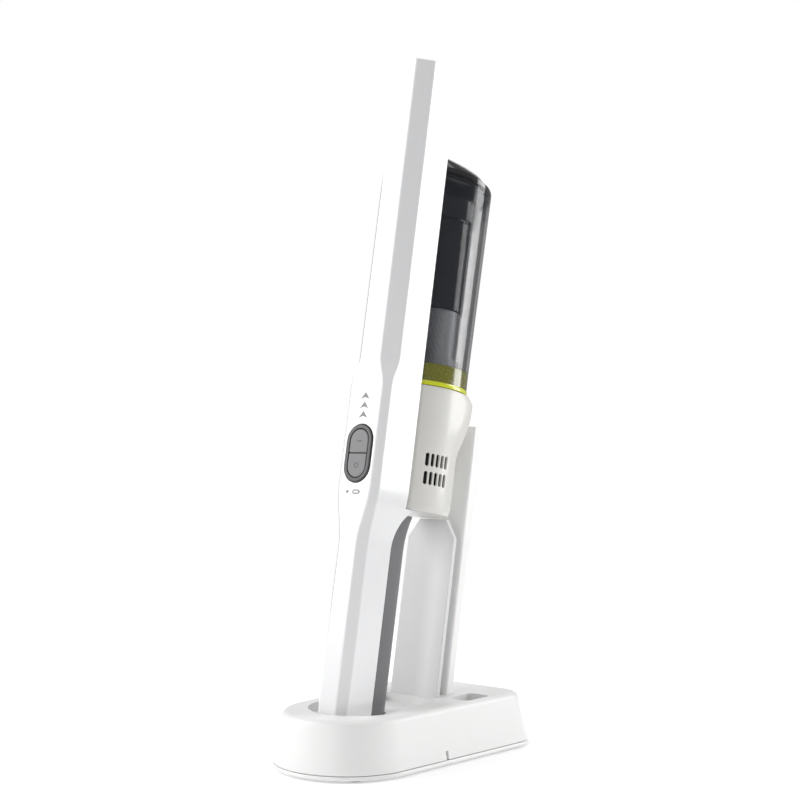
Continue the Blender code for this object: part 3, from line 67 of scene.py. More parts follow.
# ---------------------------------------------------------------- shader maths


class Signal:
    """A shader socket that takes part in Python expressions."""

    def __init__(self, graph: "Graph", socket: bpy.types.NodeSocket) -> None:
        """Wraps a socket.

        Args:
            graph: The material's graph that the socket belongs to.
            socket: An output socket.
        """
        self.graph = graph
        self.socket = socket

    def _with(self, operation: str, *values: "Signal | float") -> "Signal":
        """Adds one Math node.

        Args:
            operation: The node's operation.
            values: Its inputs in order.

        Returns:
            The node's result.
        """
        inputs = dict(enumerate(values))
        return self.graph.add("ShaderNodeMath", {"operation": operation}, inputs)

    def __add__(self, other: "Signal | float") -> "Signal":
        """Sum."""
        return self._with("ADD", self, other)

    __radd__ = __add__

    def __sub__(self, other: "Signal | float") -> "Signal":
        """Difference."""
        return self._with("SUBTRACT", self, other)

    def __rsub__(self, other: float) -> "Signal":
        """Difference with a number in front."""
        return self._with("SUBTRACT", other, self)

    def __mul__(self, other: "Signal | float") -> "Signal":
        """Product."""
        return self._with("MULTIPLY", self, other)

    def __pow__(self, other: float) -> "Signal":
        """Power."""
        return self._with("POWER", self, other)

    def above(self, edge: float, soft: float) -> "Signal":
        """A smooth step from 0 to 1.

        Args:
            edge: Where the step is half way.
            soft: The step's whole width.

        Returns:
            The step as a signal.
        """
        settings = {"interpolation_type": "SMOOTHSTEP", "clamp": True}
        inputs = {0: self, 1: edge - soft / 2, 2: edge + soft / 2, 3: 0.0, 4: 1.0}
        return self.graph.add("ShaderNodeMapRange", settings, inputs)

    def wave(self) -> "Signal":
        """Its sine."""
        return self._with("SINE", self)

    def size(self) -> "Signal":
        """Its absolute value."""
        return self._with("ABSOLUTE", self)


class Graph:
    """The node tree of one material."""

    def __init__(self, name: str) -> None:
        """Starts an empty material.

        Args:
            name: The material's name.
        """
        self.material = bpy.data.materials.new(name)
        self.material.use_nodes = True
        self.tree = self.material.node_tree
        self.tree.nodes.clear()

    def node(self, kind: str, settings: dict | None = None, inputs: dict | None = None) -> bpy.types.Node:
        """Adds a node, sets it up and feeds it.

        Args:
            kind: The node's type.
            settings: Properties by name; "stops" gives a ramp's (place, colour) pairs.
            inputs: Values or signals by socket name or number.

        Returns:
            The new node.
        """
        made = self.tree.nodes.new(kind)
        for key, value in (settings or {}).items():
            if key == "stops":
                self._set_stops(made, value)
            else:
                setattr(made, key, value)
        for key, value in (inputs or {}).items():
            if isinstance(value, Signal):
                self.tree.links.new(value.socket, made.inputs[key])
            else:
                made.inputs[key].default_value = value
        return made

    @staticmethod
    def _set_stops(ramp: bpy.types.Node, stops: Sequence[tuple[float, Colour]]) -> None:
        """Sets a colour ramp's stops.

        Args:
            ramp: The ColorRamp node.
            stops: Place and colour of each stop.
        """
        elements = ramp.color_ramp.elements
        while len(elements) < len(stops):
            elements.new(1.0)
        for element, (place, colour) in zip(elements, stops):
            element.position = place
            element.color = (*colour, 1.0)

    def add(self, kind: str, settings: dict | None = None, inputs: dict | None = None,
            output: int | str = 0) -> Signal:
        """Adds a node and takes one of its outputs.

        Args:
            kind: The node's type.
            settings: Properties by name.
            inputs: Values or signals by socket name or number.
            output: Name or number of the output wanted.

        Returns:
            That output as a signal.
        """
        return Signal(self, self.node(kind, settings, inputs).outputs[output])

    def place(self, turn: tuple[float, float, float] = (0.0, 0.0, 0.0),
              stretch: tuple[float, float, float] = (1.0, 1.0, 1.0)) -> Signal:
        """Object coordinates, turned and then stretched.

        Args:
            turn: Rotation in radians.
            stretch: Scale along each axis.

        Returns:
            The coordinates.
        """
        raw = self.add("ShaderNodeTexCoord", output="Object")
        inputs = {"Vector": raw, "Rotation": turn, "Scale": stretch}
        return self.add("ShaderNodeMapping", {"vector_type": "POINT"}, inputs)

    def noise(self, where: Signal, scale: float, detail: float = 2.0, rough: float = 0.5) -> Signal:
        """Fractal noise between 0 and 1.

        Args:
            where: Coordinates.
            scale: Features to a metre.
            detail: Octaves.
            rough: Share of the finer octaves.

        Returns:
            The noise.
        """
        inputs = {"Vector": where, "Scale": scale, "Detail": detail, "Roughness": rough}
        return self.add("ShaderNodeTexNoise", None, inputs, "Fac")

    def axis(self, where: Signal, name: str) -> Signal:
        """One component of a vector.

        Args:
            where: The vector.
            name: X, Y or Z.

        Returns:
            That component.
        """
        return self.add("ShaderNodeSeparateXYZ", None, {0: where}, name)

    def blend(self, share: Signal, first: "Signal | Colour", second: "Signal | Colour") -> Signal:
        """Mixes two colours.

        Args:
            share: 0 gives the first and 1 the second.
            first: A colour.
            second: Another colour.

        Returns:
            The mixed colour.
        """
        colours = [c if isinstance(c, Signal) else (*c, 1.0) for c in (first, second)]
        settings = {"data_type": "RGBA"}
        return self.add("ShaderNodeMix", settings, {0: share, 6: colours[0], 7: colours[1]}, 2)

    def bump(self, height: Signal, depth: float, strength: float = 1.0) -> Signal:
        """Turns a height into a bent normal.

        Args:
            height: Relief between 0 and 1.
            depth: The relief's depth in metres.
            strength: How much of it is seen.

        Returns:
            The normal.
        """
        inputs = {"Strength": strength, "Distance": depth, "Height": height}
        return self.add("ShaderNodeBump", None, inputs, "Normal")

    def shade(self, **inputs: object) -> bpy.types.Material:
        """Ends the material with a Principled shader.

        Args:
            inputs: Its sockets, with underscores for spaces.

        Returns:
            The finished material.
        """
        named = {key.replace("_", " "): value for key, value in inputs.items()}
        shader = self.node("ShaderNodeBsdfPrincipled", None, named)
        self.node("ShaderNodeOutputMaterial", None, {"Surface": Signal(self, shader.outputs[0])})
        return self.material


def shift(colour: Colour, amount: float) -> Colour:
    """Makes a colour lighter or darker.

    Args:
        colour: The colour.
        amount: Share to add, which may be negative.

    Returns:
        The new colour.
    """
    return tuple(min(1.0, c * (1 + amount)) for c in colour)


# ---------------------------------------------------------------- finishes


@dataclass(frozen=True)
class Finish:
    """A finish that turns into one shared material."""

    name: str

    def material(self) -> bpy.types.Material:
        """The material, built the first time that it is wanted."""
        return bpy.data.materials.get(self.name) or self.build(Graph(self.name))

    def build(self, graph: Graph) -> bpy.types.Material:
        """Builds the nodes.

        Args:
            graph: An empty graph.

        Returns:
            The material.
        """
        raise NotImplementedError


@dataclass(frozen=True)
class Moulding(Finish):
    """Moulded plastic: a faint mottle, a fine mould grain, flow waviness and settled dust."""

    colour: Colour = (0.8, 0.8, 0.8)
    roughness: float = 0.35
    mottle: float = 0.03
    grain: float = 900.0
    grain_depth: float = 0.012 * MM
    waviness: float = 0.03 * MM
    coat: float = 0.0
    dust: float = 0.08
    spread: float = 0.0

    def build(self, graph: Graph) -> bpy.types.Material:
        """Builds the plastic's nodes."""
        where = graph.place()
        broad = graph.noise(where, 22.0, 3.0)
        fine = graph.noise(where, self.grain, 3.0, 0.6)
        flow = graph.noise(graph.place(stretch=(1.0, 1.0, 0.35)), 95.0, 1.0)
        facing_up = graph.axis(graph.add("ShaderNodeNewGeometry", output="Normal"), "Z")
        settled = facing_up.above(0.75, 0.5) * graph.noise(where, 240.0, 4.0, 0.7) * self.dust
        tone = graph.blend(broad, shift(self.colour, -self.mottle), shift(self.colour, self.mottle))
        tone = graph.blend(settled, tone, shift(self.colour, -0.35))
        rubbed = graph.noise(graph.place(stretch=(1.0, 1.0, 0.12)), 420.0, 2.0).above(0.63, 0.16)
        roughness = (fine - 0.5) * 0.10 + (broad - 0.5) * 0.08 + self.roughness
        roughness = roughness + rubbed * 0.05 + settled * 0.8
        relief = graph.bump(fine * (self.grain_depth / self.waviness) + flow, self.waviness)
        return graph.shade(
            Base_Color=tone, Roughness=roughness, Normal=relief, Coat_Weight=self.coat,
            Coat_Roughness=0.08, IOR=1.49, Subsurface_Weight=self.spread, Subsurface_Scale=2 * MM,
        )


@dataclass(frozen=True)
class ClearMoulding(Finish):
    """See-through plastic that darkens towards its edges, with a faint haze of dust."""

    colour: Colour = (0.05, 0.05, 0.06)
    edge_colour: Colour = (0.02, 0.02, 0.02)
    body: float = 0.45
    roughness: float = 0.06
    haze: float = 0.06
    low_colour: Colour | None = None
    low_edge: float = 0.0

    def build(self, graph: Graph) -> bpy.types.Material:
        """Builds the clear plastic's nodes."""
        where = graph.place()
        rim = graph.add("ShaderNodeLayerWeight", None, {"Blend": 0.35}, "Facing")
        film = graph.noise(graph.place(stretch=(1.0, 1.0, 0.3)), 60.0, 4.0, 0.6)
        dust = graph.noise(where, 700.0, 3.0, 0.7).above(0.60, 0.12)
        tone = graph.blend(rim, self.colour, self.edge_colour)
        # Below low_edge the plastic keeps low_colour and above it takes colour; on the lime collar the darker
        # colour above is painted shade.
        if self.low_colour is not None:
            height = graph.axis(graph.place(turn=(LEAN.angle, 0.0, 0.0)), "Z")
            tone = graph.blend(height.above(self.low_edge, 1.2 * MM), self.low_colour, tone)
        tone = graph.blend(dust * 0.10, tone, (0.45, 0.46, 0.48))
        solid = rim ** 1.6 * (0.95 - self.body) + self.body + dust * self.haze + film * self.haze
        roughness = film * 0.08 + dust * 0.2 + self.roughness
        relief = graph.bump(graph.noise(where, 70.0, 1.0), 0.02 * MM)
        return graph.shade(
            Base_Color=tone, Roughness=roughness, Alpha=solid, Normal=relief, IOR=1.55,
            Coat_Weight=0.6, Coat_Roughness=0.04, Specular_IOR_Level=0.8,
        )


@dataclass(frozen=True)
class SoftGrip(Finish):
    """Soft-touch rubber with a fine pebbled grain, rubbed smoother where the palm rests."""

    colour: Colour = (0.11, 0.11, 0.115)
    pebble: float = 1500.0
    depth: float = 0.05 * MM

    def build(self, graph: Graph) -> bpy.types.Material:
        """Builds the grip's nodes."""
        where = graph.place()
        settings = {"feature": "SMOOTH_F1"}
        inputs = {"Vector": where, "Scale": self.pebble, "Smoothness": 0.6}
        pebbles = graph.add("ShaderNodeTexVoronoi", settings, inputs, "Distance")
        broad = graph.noise(where, 30.0, 4.0)
        palm = graph.noise(graph.place(stretch=(1.0, 1.0, 0.4)), 26.0, 2.0).above(0.55, 0.2)
        tone = graph.blend(broad, shift(self.colour, -0.12), shift(self.colour, 0.14))
        tone = graph.blend(pebbles * 0.5, shift(self.colour, 0.25), tone)
        roughness = 0.62 - palm * 0.12 + (broad - 0.5) * 0.10
        return graph.shade(
            Base_Color=tone, Roughness=roughness, Normal=graph.bump(pebbles, self.depth, 0.7),
            Sheen_Weight=0.25, Sheen_Roughness=0.4, IOR=1.5,
        )


class Grain(Enum):
    """Which way a metal was worked."""

    ALONG = (1.0, 1.0, 0.04)
    ACROSS = (0.04, 1.0, 1.0)
    TURNED = (1.0, 1.0, 12.0)


@dataclass(frozen=True)
class WorkedMetal(Finish):
    """Metal with the streaks of brushing or turning, and small stains."""

    colour: Colour = (0.62, 0.62, 0.64)
    roughness: float = 0.28
    grain: Grain = Grain.ALONG

    def build(self, graph: Graph) -> bpy.types.Material:
        """Builds the metal's nodes."""
        streaks = graph.noise(graph.place(stretch=self.grain.value), 1400.0, 3.0, 0.65)
        stains = graph.noise(graph.place(), 120.0, 4.0).above(0.62, 0.2)
        tone = graph.blend(streaks, shift(self.colour, -0.18), shift(self.colour, 0.12))
        tone = graph.blend(stains * 0.35, tone, shift(self.colour, -0.4))
        roughness = (streaks - 0.5) * 0.22 + stains * 0.15 + self.roughness
        return graph.shade(
            Base_Color=tone, Roughness=roughness, Metallic=1.0, Normal=graph.bump(streaks, 0.006 * MM),
        )


@dataclass(frozen=True)
class WovenWire(Finish):
    """Fine steel mesh wrapped round a drum: crossing wires with dark holes between them."""

    colour: Colour = (0.86, 0.87, 0.90)
    pitch: float = 0.85 * MM
    radius: float = 17 * MM

    def build(self, graph: Graph) -> bpy.types.Material:
        """Builds the woven wire's nodes."""
        centre = LEAN.local(LEAN.housing_axis)
        upright = graph.place(turn=(LEAN.angle, 0.0, 0.0))
        along = graph.axis(upright, "Z")
        across, back = graph.axis(upright, "X"), graph.axis(upright, "Y") - LEAN.turned_depth(centre.y)
        angle = graph.add("ShaderNodeMath", {"operation": "ARCTAN2"}, {0: across, 1: back})
        turns = round(2 * math.pi * self.radius / self.pitch)
        ring = (along * (2 * math.pi / self.pitch)).wave().size()
        rib = (angle * float(turns / 2)).wave().size()
        hole = ring.above(0.45, 0.4) * rib.above(0.45, 0.4)
        shade_noise = graph.noise(graph.place(), 300.0, 3.0)
        wire = graph.blend(shade_noise, shift(self.colour, -0.15), shift(self.colour, 0.08))
        tone = graph.blend(hole, wire, (0.05, 0.05, 0.055))
        metal = 1.0 - hole * 0.85
        roughness = hole * 0.3 + shade_noise * 0.12 + 0.26
        return graph.shade(
            Base_Color=tone, Roughness=roughness, Metallic=metal,
            Normal=graph.bump(1.0 - hole, 0.12 * MM, 0.8),
        )


@dataclass(frozen=True)
class FilterPaper(Finish):
    """Pleated filter paper with loose fibres and dust caught in its folds."""

    colour: Colour = (0.86, 0.86, 0.82)

    def build(self, graph: Graph) -> bpy.types.Material:
        """Builds the paper's nodes."""
        where = graph.place()
        fibres = graph.noise(graph.place(stretch=(1.0, 1.0, 0.3)), 2600.0, 4.0, 0.7)
        dirt = graph.noise(where, 260.0, 4.0, 0.6).above(0.55, 0.3)
        tone = graph.blend(fibres, shift(self.colour, -0.12), shift(self.colour, 0.06))
        tone = graph.blend(dirt * 0.35, tone, (0.45, 0.43, 0.39))
        return graph.shade(
            Base_Color=tone, Roughness=0.86 + fibres * 0.1, Normal=graph.bump(fibres, 0.06 * MM),
            Sheen_Weight=0.2,
        )


@dataclass(frozen=True)
class CircuitBoard(Finish):
    """Green solder mask with traces running under it."""

    colour: Colour = (0.02, 0.16, 0.07)
    traces_per_metre: float = 260.0

    def build(self, graph: Graph) -> bpy.types.Material:
        """Builds the board's nodes."""
        settings = {"feature": "F1", "distance": "MANHATTAN"}
        inputs = {"Vector": graph.place(), "Scale": self.traces_per_metre}
        cells = graph.add("ShaderNodeTexVoronoi", settings, inputs, "Distance")
        traces = cells.above(0.55, 0.08)
        tone = graph.blend(traces, self.colour, shift(self.colour, 0.9))
        return graph.shade(
            Base_Color=tone, Roughness=0.32 + traces * 0.1, Normal=graph.bump(traces, 0.03 * MM),
            Coat_Weight=0.4,
        )


WHITE_GLOSS = Moulding("white_gloss_plastic", (0.79, 0.79, 0.80), 0.20, 0.012, 700.0,
                       0.004 * MM, 0.035 * MM, coat=0.5, dust=0.05, spread=0.05)
WHITE_SATIN = Moulding("white_satin_plastic", (0.78, 0.78, 0.775), 0.40, 0.015, 1300.0,
                       0.02 * MM, 0.03 * MM, dust=0.10, spread=0.05)
TOOL_WHITE = Moulding("tool_white_plastic", (0.86, 0.86, 0.855), 0.34, 0.015, 1300.0,
                      0.015 * MM, 0.03 * MM, dust=0.05, spread=0.08)
IVORY_SATIN = Moulding("ivory_satin_plastic", (0.68, 0.672, 0.645), 0.34, 0.018, 1100.0,
                       0.014 * MM, 0.03 * MM, coat=0.2, dust=0.06, spread=0.06)
LIGHT_GREY = Moulding("light_grey_plastic", (0.66, 0.66, 0.665), 0.48, 0.03, 1200.0, 0.025 * MM)
BEZEL_GREY = Moulding("bezel_grey_plastic", (0.040, 0.040, 0.043), 0.38, 0.08, 1500.0, 0.02 * MM)
BUTTON_GREY = Moulding("button_grey_plastic", (0.17, 0.17, 0.175), 0.46, 0.06, 1600.0, 0.03 * MM)
BLACK_SATIN = Moulding("black_satin_plastic", (0.018, 0.018, 0.020), 0.30, 0.12, 1300.0, 0.02 * MM, coat=0.15)
BLACK_GLOSS = Moulding("black_gloss_plastic", (0.012, 0.012, 0.014), 0.16, 0.12, 900.0,
                       0.006 * MM, coat=0.6, dust=0.12)
RUBBER = Moulding("black_rubber", (0.025, 0.025, 0.026), 0.74, 0.15, 1900.0, 0.05 * MM)
CELL_WRAP = Moulding("blue_cell_wrap", (0.04, 0.17, 0.42), 0.30, 0.06, 500.0, 0.03 * MM, coat=0.3)
MARK_GREY = Moulding("printed_grey", (0.19, 0.19, 0.20), 0.42, 0.05, 2200.0, 0.008 * MM)
MARK_LIGHT = Moulding("printed_light_grey", (0.07, 0.07, 0.075), 0.40, 0.04, 2200.0, 0.008 * MM)
GRIP = SoftGrip("grip_rubber")
STEEL = WorkedMetal("brushed_steel")
# The motor's near-black colour is painted shade: it stands in for the shade seen through the housing's vents. Its
# turned grain and stains are the metal's own.
VENT_SHADE_MOTOR_STEEL = WorkedMetal("motor_steel_painted_vent_shade", (0.07, 0.07, 0.075), 0.42, Grain.TURNED)
TURNED_STEEL = WorkedMetal("turned_steel", (0.66, 0.66, 0.67), 0.22, Grain.TURNED)
GOLD = WorkedMetal("gold_plating", (0.86, 0.63, 0.26), 0.24, Grain.ACROSS)
MESH_STEEL = WovenWire("woven_steel_mesh")
PAPER = FilterPaper("pleated_filter_paper")
BOARD = CircuitBoard("green_circuit_board")


# ---------------------------------------------------------------- the leaning frame


class LeaningFrame:
    """The vacuum's own axes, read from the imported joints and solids."""

    def __init__(self) -> None:
        """Finds the lean, and the point below the middle of the handle's front face."""
        joints = {joint["name"]: joint for joint in frame["joints"]}
        self.up = Vector(joints["vacuum_lift"]["axis"]).normalized()
        self.across = Vector((1.0, 0.0, 0.0))
        self.inward = self.up.cross(self.across).normalized()
        self.angle = math.atan2(self.up.y, self.up.z)
        self.housing_axis = Vector(joints["rotor_spin"]["pos_m"])
        self.door_hinge = Vector(joints["door_swing"]["pos_m"])
        self.origin = Vector((0.0, 0.0, 0.0))
        low_front = self.bounds("front_shell")[0]
        low_end = self.bounds("handle_end_cap")[0]
        self.origin = self.inward * low_front.y + self.up * low_end.z

    def local(self, point: Vector) -> Vector:
        """Turns a point of the row frame into across, depth and height."""
        moved = Vector(point) - self.origin
        return Vector((moved.dot(self.across), moved.dot(self.inward), moved.dot(self.up)))

    def turned_depth(self, depth: float) -> float:
        """Depth of a point in the turned coordinates that materials read.

        Args:
            depth: Depth behind the front face.

        Returns:
            The same depth measured from the row frame's origin.
        """
        return depth + self.origin.dot(self.inward)

    def turned_height(self, height: float) -> float:
        """Height of a point in the turned coordinates that materials read.

        Args:
            height: Height above the handle's bottom end.

        Returns:
            The same height measured from the row frame's origin.
        """
        return height + self.origin.dot(self.up)

    def matrix(self) -> Matrix:
        """The transform from across, depth and height to the row frame."""
        turn = Matrix((self.across, self.inward, self.up)).transposed().to_4x4()
        return Matrix.Translation(self.origin) @ turn

    def bounds(self, node: str) -> tuple[Vector, Vector]:
        """Lowest and highest across, depth and height of a node.

        Args:
            node: The node's name.

        Returns:
            Its two corners.
        """
        points = [self.local(vertex.co) for vertex in frame["nodes"][node].data.vertices]
        return (Vector([min(p[i] for p in points) for i in range(3)]),
                Vector([max(p[i] for p in points) for i in range(3)]))


LEAN = LeaningFrame()


# ---------------------------------------------------------------- making pieces


def body_of(node: str) -> str:
    """The body that a node rides on.

    Args:
        node: The node's name.

    Returns:
        The body's name.
    """
    bodies = frame["record"]["behaviour"]["bodies"]
    return next(body for body, nodes in bodies.items() if node in nodes)


def slot_of(node: str) -> str:
    """The record's material slot of a node.

    Args:
        node: The node's name.

    Returns:
        The slot's name.
    """
    return next(part["material_slot"] for part in frame["record"]["subparts"] if part["node"] == node)


def new_piece(name: str, shape: bmesh.types.BMesh, finish: Finish, sharp: float = 32.0) -> bpy.types.Object:
    """Turns a bmesh into a smooth-shaded object with one finish.

    Args:
        name: The object's name.
        shape: The bmesh, in the row frame. It is freed.
        finish: The finish.
        sharp: Angle in degrees above which an edge stays crisp.

    Returns:
        The object.
    """
    mesh = bpy.data.meshes.new(name)
    shape.to_mesh(mesh)
    shape.free()
    mesh.shade_smooth()
    mesh.set_sharp_from_angle(angle=math.radians(sharp))
    piece = bpy.data.objects.new(name, mesh)
    bpy.context.scene.collection.objects.link(piece)
    mesh.materials.append(finish.material())
    return piece


def even_normals(piece: bpy.types.Object) -> bpy.types.Object:
    """Lets the flat faces rule the shading, so that rounded edges look crisp.

    Args:
        piece: The object.

    Returns:
        The same object.
    """
    modifier = piece.modifiers.new("even_normals", "WEIGHTED_NORMAL")
    modifier.keep_sharp = True
    return piece


def install(piece: bpy.types.Object, nodes: Sequence[str], body: str | None = None,
            slot: str | None = None) -> bpy.types.Object:
    """Puts a piece on its body, in place of the solids that it stands for.

    Args:
        piece: The object.
        nodes: Nodes that it replaces, or none for an added piece.
        body: The body, where no node gives it.
        slot: The material slot, where no node gives it. It is looked up but not used.

    Returns:
        The same object.
    """
    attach(piece, body or body_of(nodes[0]))
    slot or slot_of(nodes[0])
    if nodes:
        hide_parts(*nodes)
    LOG.info("%s rides on %s", piece.name, body or body_of(nodes[0]))
    return piece


def dress(node: str, finish: Finish) -> None:
    """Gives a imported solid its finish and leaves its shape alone.

    Args:
        node: The node's name.
        finish: The finish.
    """
    solid = frame["nodes"][node]
    solid.data.materials.clear()
    solid.data.materials.append(finish.material())
    LOG.info("%s dressed", node)


def merged_copy(node: str) -> bmesh.types.BMesh:
    """A copy of a node's mesh with its doubles merged and its flat faces joined.

    Args:
        node: The node's name.

    Returns:
        The copy.
    """
    shape = bmesh.new()
    shape.from_mesh(frame["nodes"][node].data)
    bmesh.ops.remove_doubles(shape, verts=shape.verts, dist=0.003 * MM)
    bmesh.ops.dissolve_degenerate(shape, dist=0.002 * MM, edges=shape.edges)
    bmesh.ops.dissolve_limit(shape, angle_limit=math.radians(0.4), verts=shape.verts, edges=shape.edges)
    return shape


def edge_chains(edges: Iterable[bmesh.types.BMEdge]) -> list[list[bmesh.types.BMEdge]]:
    """Groups edges that meet.

    Args:
        edges: The edges.

    Returns:
        One list for each connected group.
    """
    waiting = set(edges)
    chains = []
    while waiting:
        front = [waiting.pop()]
        chain = []
        while front:
            edge = front.pop()
            chain.append(edge)
            near = {e for vertex in edge.verts for e in vertex.link_edges if e in waiting}
            waiting -= near
            front.extend(near)
        chains.append(sorted(chain, key=lambda e: e.index))
    return sorted(chains, key=lambda chain: chain[0].index)


def round_edges(shape: bmesh.types.BMesh, width: float, segments: int = 2, angle: float = 28.0,
                wanted: Callable[[Vector], bool] | None = None) -> None:
    """Bevels the crisp edges of a shape, each connected group by itself.

    Args:
        shape: The bmesh.
        width: Width of the bevel in metres.
        segments: Faces across the bevel.
        angle: Least angle in degrees between two faces.
        wanted: Test of an edge's middle point, where only some edges are rounded.
    """
    shape.edges.index_update()
    least = math.radians(angle)
    crisp = [e for e in shape.edges if len(e.link_faces) == 2 and e.calc_face_angle(0.0) > least]
    if wanted is not None:
        crisp = [e for e in crisp if wanted((e.verts[0].co + e.verts[1].co) / 2)]
    for chain in edge_chains(crisp):
        corners = [v for v in {v for e in chain for v in e.verts}]
        bmesh.ops.bevel(shape, geom=chain + corners, offset=width, offset_type="OFFSET",
                        segments=segments, profile=0.5, affect="EDGES", clamp_overlap=True,
                        material=-1, loop_slide=True)
    bmesh.ops.remove_doubles(shape, verts=shape.verts, dist=0.002 * MM)


@dataclass
class Casting:
    """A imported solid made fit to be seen: merged, with its edges rounded."""

    node: str
    finish: Finish
    edge: float = 0.3 * MM
    segments: int = 2
    angle: float = 28.0

    def build(self) -> bpy.types.Object:
        """Builds, dresses and installs the piece.

        Returns:
            The object.
        """
        shape = merged_copy(self.node)
        if self.edge > 0:
            round_edges(shape, self.edge, self.segments, self.angle)
        piece = even_normals(new_piece(f"{self.node}_moulding", shape, self.finish))
        return install(piece, [self.node])


def outline_plate(points: Sequence[tuple[float, float]], depth: float, thickness: float,
                  holes: Sequence[tuple[float, float]] = ()) -> bmesh.types.BMesh:
    """A thin plate in the vacuum's x-z plane, facing forwards.

    Args:
        points: Its outline as across and height.
        depth: Depth of its rear face.
        thickness: Its thickness.
        holes: An inner outline with as many points, where the plate is a frame.

    Returns:
        The plate in the row frame.
    """
    shape = bmesh.new()
    outer = [shape.verts.new((x, depth, z)) for x, z in points]
    if holes:
        inner = [shape.verts.new((x, depth, z)) for x, z in holes]
        for loop in (outer, inner):
            for first, second in zip(loop, loop[1:] + loop[:1]):
                shape.edges.new((first, second))
        faces = bmesh.ops.bridge_loops(shape, edges=shape.edges)["faces"]
    else:
        faces = [shape.faces.new(outer)]
    grown = bmesh.ops.extrude_face_region(shape, geom=faces, use_keep_orig=True)
    moved = [item for item in grown["geom"] if isinstance(item, bmesh.types.BMVert)]
    bmesh.ops.translate(shape, verts=moved, vec=(0.0, -thickness, 0.0))
    bmesh.ops.recalc_face_normals(shape, faces=shape.faces)
    shape.transform(LEAN.matrix())
    return shape


def slot_outline(width: float, height: float, centre: tuple[float, float],
                 steps: int = 8) -> list[tuple[float, float]]:
    """A rectangle with fully round shorter ends.

    Args:
        width: Its size across.
        height: Its size upwards.
        centre: Its middle.
        steps: Points in each round end.

    Returns:
        The outline.
    """
    radius = min(width, height) / 2
    run_x, run_z = width / 2 - radius, height / 2 - radius
    points = []
    for quarter, (side_x, side_z) in enumerate(((1, 1), (-1, 1), (-1, -1), (1, -1))):
        for i in range(steps // 2 + 1):
            angle = math.radians(90 * (quarter + i / (steps // 2)))
            points.append((centre[0] + side_x * run_x + radius * math.cos(angle),
                           centre[1] + side_z * run_z + radius * math.sin(angle)))
    return points


@dataclass
class SocketScrew:
    """A screw head with a six-lobed recess, on a plain shank."""

    head_radius: float
    head_height: float
    shank_radius: float
    shank_length: float
    recess_depth: float = 0.7 * MM
    lobe: float = 0.16
    turns: int = 24

    def build(self, name: str, seat: Vector, outwards: Vector, finish: Finish) -> bpy.types.Object:
        """Builds the screw.

        Args:
            name: The object's name.
            seat: Middle of the head's underside.
            outwards: Direction that the head faces.
            finish: Its finish.

        Returns:
            The object.
        """
        shape = bmesh.new()
        bmesh.ops.create_circle(shape, cap_ends=True, segments=self.turns, radius=self.shank_radius)
        disc = shape.faces[:]
        disc = self._raise(shape, disc, self.shank_length, 1.0)
        disc = self._raise(shape, disc, 0.0, self.head_radius / self.shank_radius)
        disc = self._raise(shape, disc, self.head_height * 0.7, 1.0)
        disc = self._raise(shape, disc, self.head_height * 0.3, 0.88)
        disc = self._raise(shape, disc, 0.0, 0.6)
        for vertex in disc[0].verts:
            angle = math.atan2(vertex.co.y, vertex.co.x)
            vertex.co.xy *= 1 + self.lobe * math.cos(6 * angle)
        self._raise(shape, disc, -self.recess_depth, 0.94)
        bmesh.ops.recalc_face_normals(shape, faces=shape.faces)
        shape.transform(Matrix.Translation((0, 0, -self.shank_length)))
        turn = Vector((0, 0, 1)).rotation_difference(outwards).to_matrix().to_4x4()
        shape.transform(Matrix.Translation(seat) @ turn)
        return new_piece(name, shape, finish)

    @staticmethod
    def _raise(shape: bmesh.types.BMesh, faces: list, height: float, scale: float) -> list:
        """Extrudes the end disc upwards and scales it.

        Args:
            shape: The bmesh.
            faces: The disc.
            height: How far it goes up.
            scale: How much wider it gets.

        Returns:
            The new end disc.
        """
        grown = bmesh.ops.extrude_face_region(shape, geom=faces)["geom"]
        verts = [item for item in grown if isinstance(item, bmesh.types.BMVert)]
        bmesh.ops.translate(shape, verts=verts, vec=(0, 0, height))
        bmesh.ops.scale(shape, verts=verts, vec=(scale, scale, 1.0))
        bmesh.ops.delete(shape, geom=[f for f in faces if f.is_valid], context="FACES_KEEP_BOUNDARY")
        return [item for item in grown if isinstance(item, bmesh.types.BMFace)]


# ---------------------------------------------------------------- sub-assemblies


@dataclass
class Dock:
    """The white charging dock with its plate, feet, contacts and weights."""

    rim: float = 0.45 * MM
    plate_edge: float = 0.35 * MM
    foot_edge: float = 0.35 * MM
    small_edge: float = 0.2 * MM
    socket_edge: float = 0.25 * MM
    screw: SocketScrew = field(default_factory=lambda: SocketScrew(3.2 * MM, 1.0 * MM, 1.5 * MM, 8 * MM))

    def build(self) -> None:
        """Builds every piece of the dock."""
        Casting("dock_shell", WHITE_SATIN, self.rim, 3).build()
        Casting("dock_base_plate", WHITE_SATIN, self.small_edge, 1).build()
        # The support plate's light grey is partly painted shade: besides its pale grey plastic, it holds the shade
        # that falls on it behind the handle.
        Casting("dock_support_plate", LIGHT_GREY, self.plate_edge, 3).build()
        Casting("dock_power_socket", BLACK_SATIN, self.socket_edge).build()
        Casting("dock_contact_block", BLACK_SATIN, self.small_edge).build()
        for number in range(1, 5):
            Casting(f"dock_foot_{number}", RUBBER, self.foot_edge, 3).build()
            self._screw(f"dock_screw_{number}")
        for side in ("left", "right"):
            dress(f"dock_charge_pin_{side}", GOLD)
            dress(f"dock_weight_{side}", STEEL)

    def _screw(self, node: str) -> None:
        """Builds one base plate screw with a real recess.

        Args:
            node: The screw's node.
        """
        low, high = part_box(node)
        seat = Vector(((low[0] + high[0]) / 2, (low[1] + high[1]) / 2, low[2] + self.screw.head_height))
        piece = self.screw.build(f"{node}_turned", seat, Vector((0, 0, -1)), STEEL)
        install(piece, [node])


@dataclass
class CreviceTool:
    """The flat crevice tool stored behind the support plate."""

    edge: float = 0.4 * MM

    def build(self) -> None:
        """Builds the tool."""
        Casting("crevice_tool", TOOL_WHITE, self.edge, 3).build()


